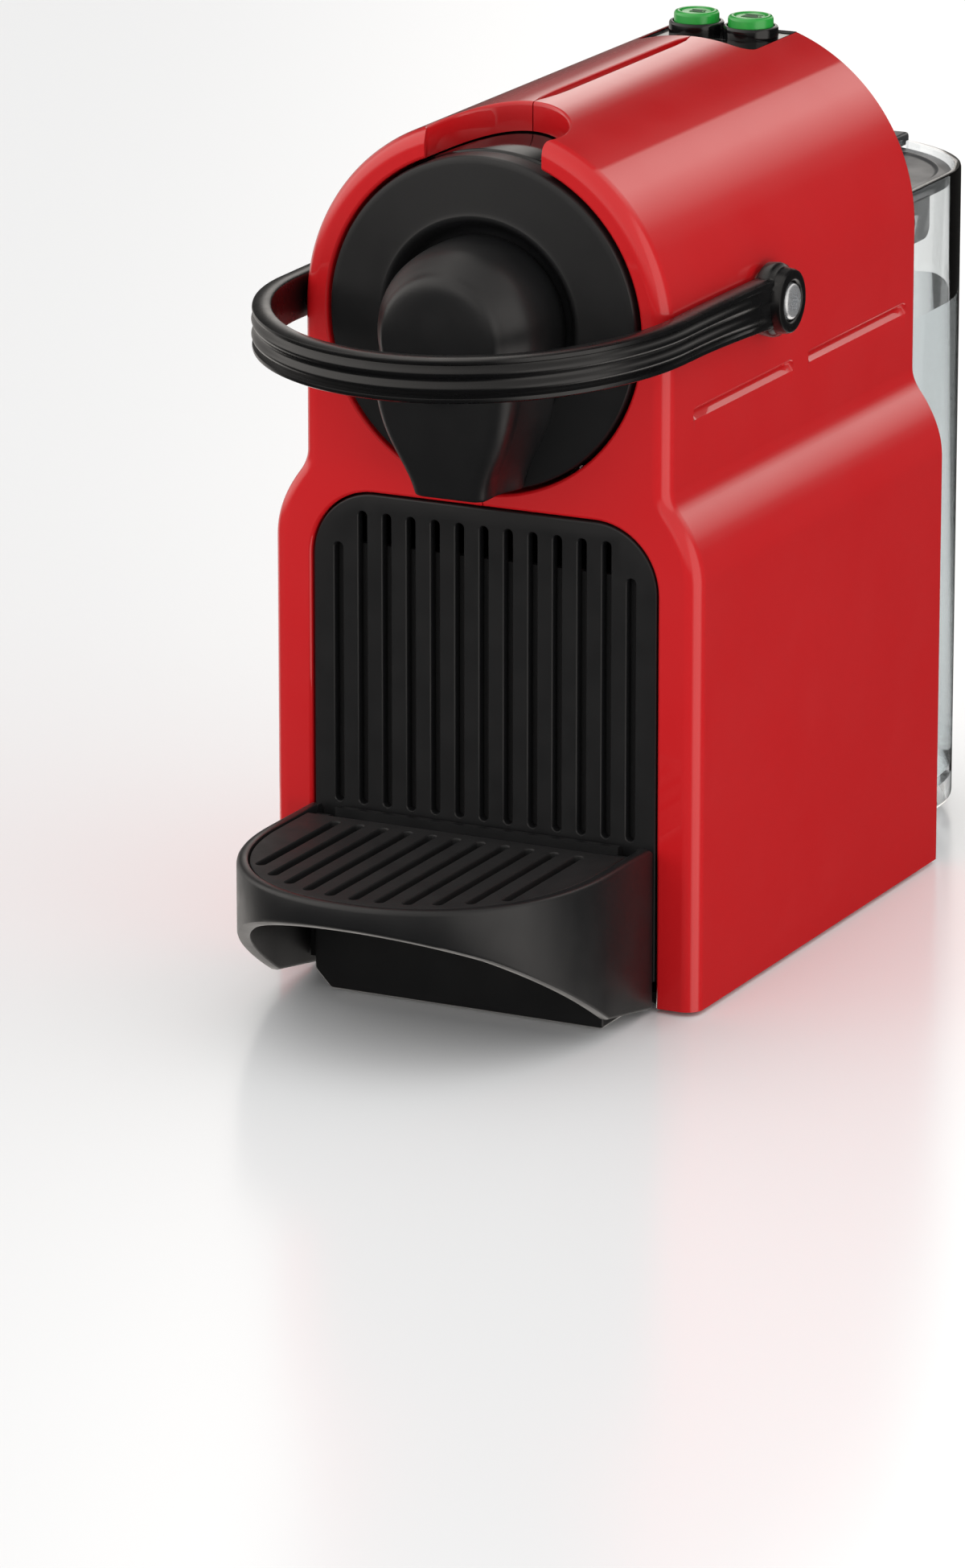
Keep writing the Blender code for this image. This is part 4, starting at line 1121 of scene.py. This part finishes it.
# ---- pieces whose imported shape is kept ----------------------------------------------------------

KEPT = {
    matt_black_pp: ("rear_panel", "base_plate", "tank_dock", "capsule_container"),
    moulded_rubber: ("foot_front_left", "foot_front_right", "foot_rear_left",
                     "foot_rear_right", "foot_dock_left", "foot_dock_right", "cable_inlet"),
    natural_nylon: ("brew_frame", "pump", "pivot_bush_left", "pivot_bush_right",
                    "tank_valve"),
    cast_aluminium: ("needle_plate", "brew_chamber", "thermoblock"),
    silicone_hose: ("suction_hose", "feed_hose", "brew_hose"),
    glass_epoxy_board: ("control_board", "power_board"),
}


class FinishKeptPieces(bpy.types.Operator):
    """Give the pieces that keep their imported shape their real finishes"""
    bl_idname = "espresso.finish_kept_pieces"
    bl_label = "Kept pieces"

    def execute(self, context):
        for look, names in KEPT.items():
            for name in names:
                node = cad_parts[name]
                for place in node.material_slots:
                    place.material = finish_of(look)
        return {"FINISHED"}


# ---- stage --------------------------------------------------------------------------------------

def way_to(azimuth, elevation):
    """The direction at an azimuth from straight back and an elevation, in degrees."""
    a, e = radians(azimuth), radians(elevation)
    return Vector((sin(a) * cos(e), cos(a) * cos(e), sin(e)))


VIEW_WAY = way_to(153.575, 16.299)   # from the machine to the camera
GLOW = 2.0
STRIPS = ((-90, 1.2), (-24, 1.6), (-16, 0.03), (28, 0.03), (34, 0.15), (41, 0.8), (47, 1.35),
          (52, 1.25), (55.6, 1.05), (56.4, 0.02), (74, 0.02), (77, 0.25), (82, 1.25), (87, 1.5),
          (91, 0.9), (95, 0.14), (112, 0.06), (122, 0.5),
          (180, 0.8))    # (turn in degrees, brightness) of the strips behind


def aim(made, target):
    """Turn a light or a camera towards a place."""
    made.rotation_euler = (target - made.location).to_track_quat("-Z", "Y").to_euler()


def softbox(name, azimuth, elevation, distance, width, height, power):
    """A soft light that gloss does not show, at a place seen from the machine."""
    data = bpy.data.lights.new(name, "AREA")
    data.shape, data.size, data.size_y = "RECTANGLE", width, height
    data.energy = power
    made = bpy.data.objects.new(name, data)
    bpy.context.scene.collection.objects.link(made)
    made.location = way_to(azimuth, elevation) * distance
    aim(made, Vector((0, 0, 0.12)))
    made.visible_camera = made.visible_glossy = False
    return made


class SetStage(bpy.types.Operator):
    """Set up the pale floor, the soft lights and the camera"""
    bl_idname = "espresso.set_stage"
    bl_label = "Stage"

    def execute(self, context):
        scene = context.scene
        floor_mat = bpy.data.materials.new("polished_white_acrylic")
        floor_mat.use_nodes = True
        tree = floor_mat.node_tree
        tree.nodes.clear()
        # Cast acrylic sheet: white, and it mirrors what stands on it faintly and softly.
        body = add(tree, "BsdfDiffuse", {"Color": (1, 1, 1, 1)})
        shine = add(tree, "BsdfAnisotropic", {"Color": (1, 1, 1, 1), "Roughness": 0.2})
        mix = add(tree, "MixShader", {0: 0.2, 1: body.outputs[0], 2: shine.outputs[0]})
        add(tree, "OutputMaterial", {"Surface": mix.outputs[0]})
        half = 25.0
        bm = bmesh.new()
        bm.faces.new([bm.verts.new((x, y, 0)) for x, y in
                      ((-half, -half), (half, -half), (half, half), (-half, half))])
        floor = solid(bm, "floor")
        floor.data.materials.append(floor_mat)
        floor.visible_glossy = False

        world = bpy.data.worlds.new("studio")
        scene.world = world
        world.use_nodes = True
        tree = world.node_tree
        tree.nodes.clear()
        # What glossy surfaces see: long softboxes behind, a pale room in front, dark below.
        way = add(tree, "TexCoord").outputs["Generated"]
        split = add(tree, "SeparateXYZ", {0: way})
        side = add(tree, "Math", {0: split.outputs["X"], 1: VIEW_WAY.x}, operation="ADD")
        rise = add(tree, "Math", {0: split.outputs["Z"], 1: VIEW_WAY.z}, operation="ADD")
        turn = add(tree, "Math", {0: rise.outputs[0], 1: side.outputs[0]},
                   operation="ARCTAN2")
        share = add(tree, "Math", {0: turn.outputs[0], 1: 1 / (1.5 * pi), 2: 1 / 3},
                    operation="MULTIPLY_ADD")
        strips = add(tree, "ValToRGB", {0: share.outputs[0]})
        stops = strips.color_ramp.elements
        for degrees, glow in STRIPS[1:-1]:
            stops.new((degrees + 90) / 270)
        for stop, (degrees, glow) in zip(stops, STRIPS):
            stop.color = (glow / GLOW, glow / GLOW, glow / GLOW, 1)
        back = add(tree, "Math", {0: strips.outputs["Color"], 1: GLOW}, operation="MULTIPLY")
        lefts = add(tree, "MapRange", {"Value": split.outputs["X"], "From Min": -0.8,
                                       "From Max": 0.3, "To Min": 1.5, "To Max": 0.6})
        above = add(tree, "MapRange", {"Value": split.outputs["Z"], "From Min": -0.06,
                                       "From Max": 0.12, "To Min": 0.03, "To Max": 1.0})
        card = add(tree, "MapRange", {"Value": split.outputs["X"], "From Min": 0.62,
                                      "From Max": 0.8, "To Min": 0.0, "To Max": 1.3})
        lit = add(tree, "Math", {0: lefts.outputs[0], 1: above.outputs[0]},
                  operation="MULTIPLY")
        room = add(tree, "Math", {0: lit.outputs[0], 1: card.outputs[0]},
                   operation="MAXIMUM")
        behind = add(tree, "MapRange", {"Value": split.outputs["Y"], "From Min": 0.1,
                                        "From Max": 0.35})
        seen = add(tree, "Mix", {0: behind.outputs[0], 2: room.outputs[0],
                                 3: back.outputs[0]})
        glossy = add(tree, "Background", {"Color": (1, 0.95, 0.9, 1),
                                          "Strength": seen.outputs[0]})
        pale = add(tree, "Background", {"Color": (1, 1, 1, 1), "Strength": 1.0})
        ray = add(tree, "LightPath")
        mirrored_ray = add(tree, "Math", {0: ray.outputs["Is Glossy Ray"],
                                          1: ray.outputs["Is Transmission Ray"]},
                           operation="SUBTRACT", use_clamp=True)
        mix = add(tree, "MixShader", {0: mirrored_ray.outputs[0], 1: pale.outputs[0],
                                      2: glossy.outputs[0]})
        add(tree, "OutputWorld", {"Surface": mix.outputs[0]})
        softbox("left_fill", -125, 20, 1.6, 1.2, 0.9, 4)
        softbox("low_right_fill", 120, 3, 1.3, 0.8, 0.4, 5)

        data = bpy.data.cameras.new("view")
        data.sensor_fit, data.sensor_width, data.sensor_height = "VERTICAL", 36.0, 36.0
        data.lens = 197.1
        camera = bpy.data.objects.new("view", data)
        scene.collection.objects.link(camera)
        target = Vector((-0.03023, -0.01379, 0.03408))
        camera.location = target + 2.2449 * VIEW_WAY
        aim(camera, target)
        data.clip_end = 100
        scene.camera = camera
        scene.view_settings.view_transform = "Standard"
        return {"FINISHED"}


# ---- panel and registration ---------------------------------------------------------------------

BUILDERS = (SetStage, MakeHousing, MakeBrewHead, MakeLever, MakeButtons, MakeServiceUnit,
            MakeTray, MakeTank, FinishKeptPieces)
GROUPS = {"espresso_shell": EspressoShell, "espresso_lever": EspressoLever,
          "espresso_tray": EspressoTray, "espresso_tank": EspressoTank,
          "espresso_colours": EspressoColours}


class EspressoPanel(bpy.types.Panel):
    """Sizes, colours and builders of the espresso machine"""
    bl_idname = "VIEW3D_PT_espresso"
    bl_label = "Espresso machine"
    bl_space_type = "VIEW_3D"
    bl_region_type = "UI"
    bl_category = "Espresso"

    def draw(self, context):
        for key, group in GROUPS.items():
            box = self.layout.box()
            for name in group.__annotations__:
                box.prop(getattr(context.scene, key), name)
        for builder in BUILDERS:
            self.layout.operator(builder.bl_idname)


def register():
    for made in (*GROUPS.values(), *BUILDERS, EspressoPanel):
        bpy.utils.register_class(made)
    for key, group in GROUPS.items():
        setattr(bpy.types.Scene, key, PointerProperty(type=group))


def unregister():
    for key in GROUPS:
        delattr(bpy.types.Scene, key)
    for made in reversed((*GROUPS.values(), *BUILDERS, EspressoPanel)):
        bpy.utils.unregister_class(made)


def main():
    """Register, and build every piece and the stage."""
    register()
    for builder in BUILDERS:
        family, action = builder.bl_idname.split(".")
        getattr(getattr(bpy.ops, family), action)()
    bpy.context.view_layer.update()


if __name__ == "__main__":
    main()
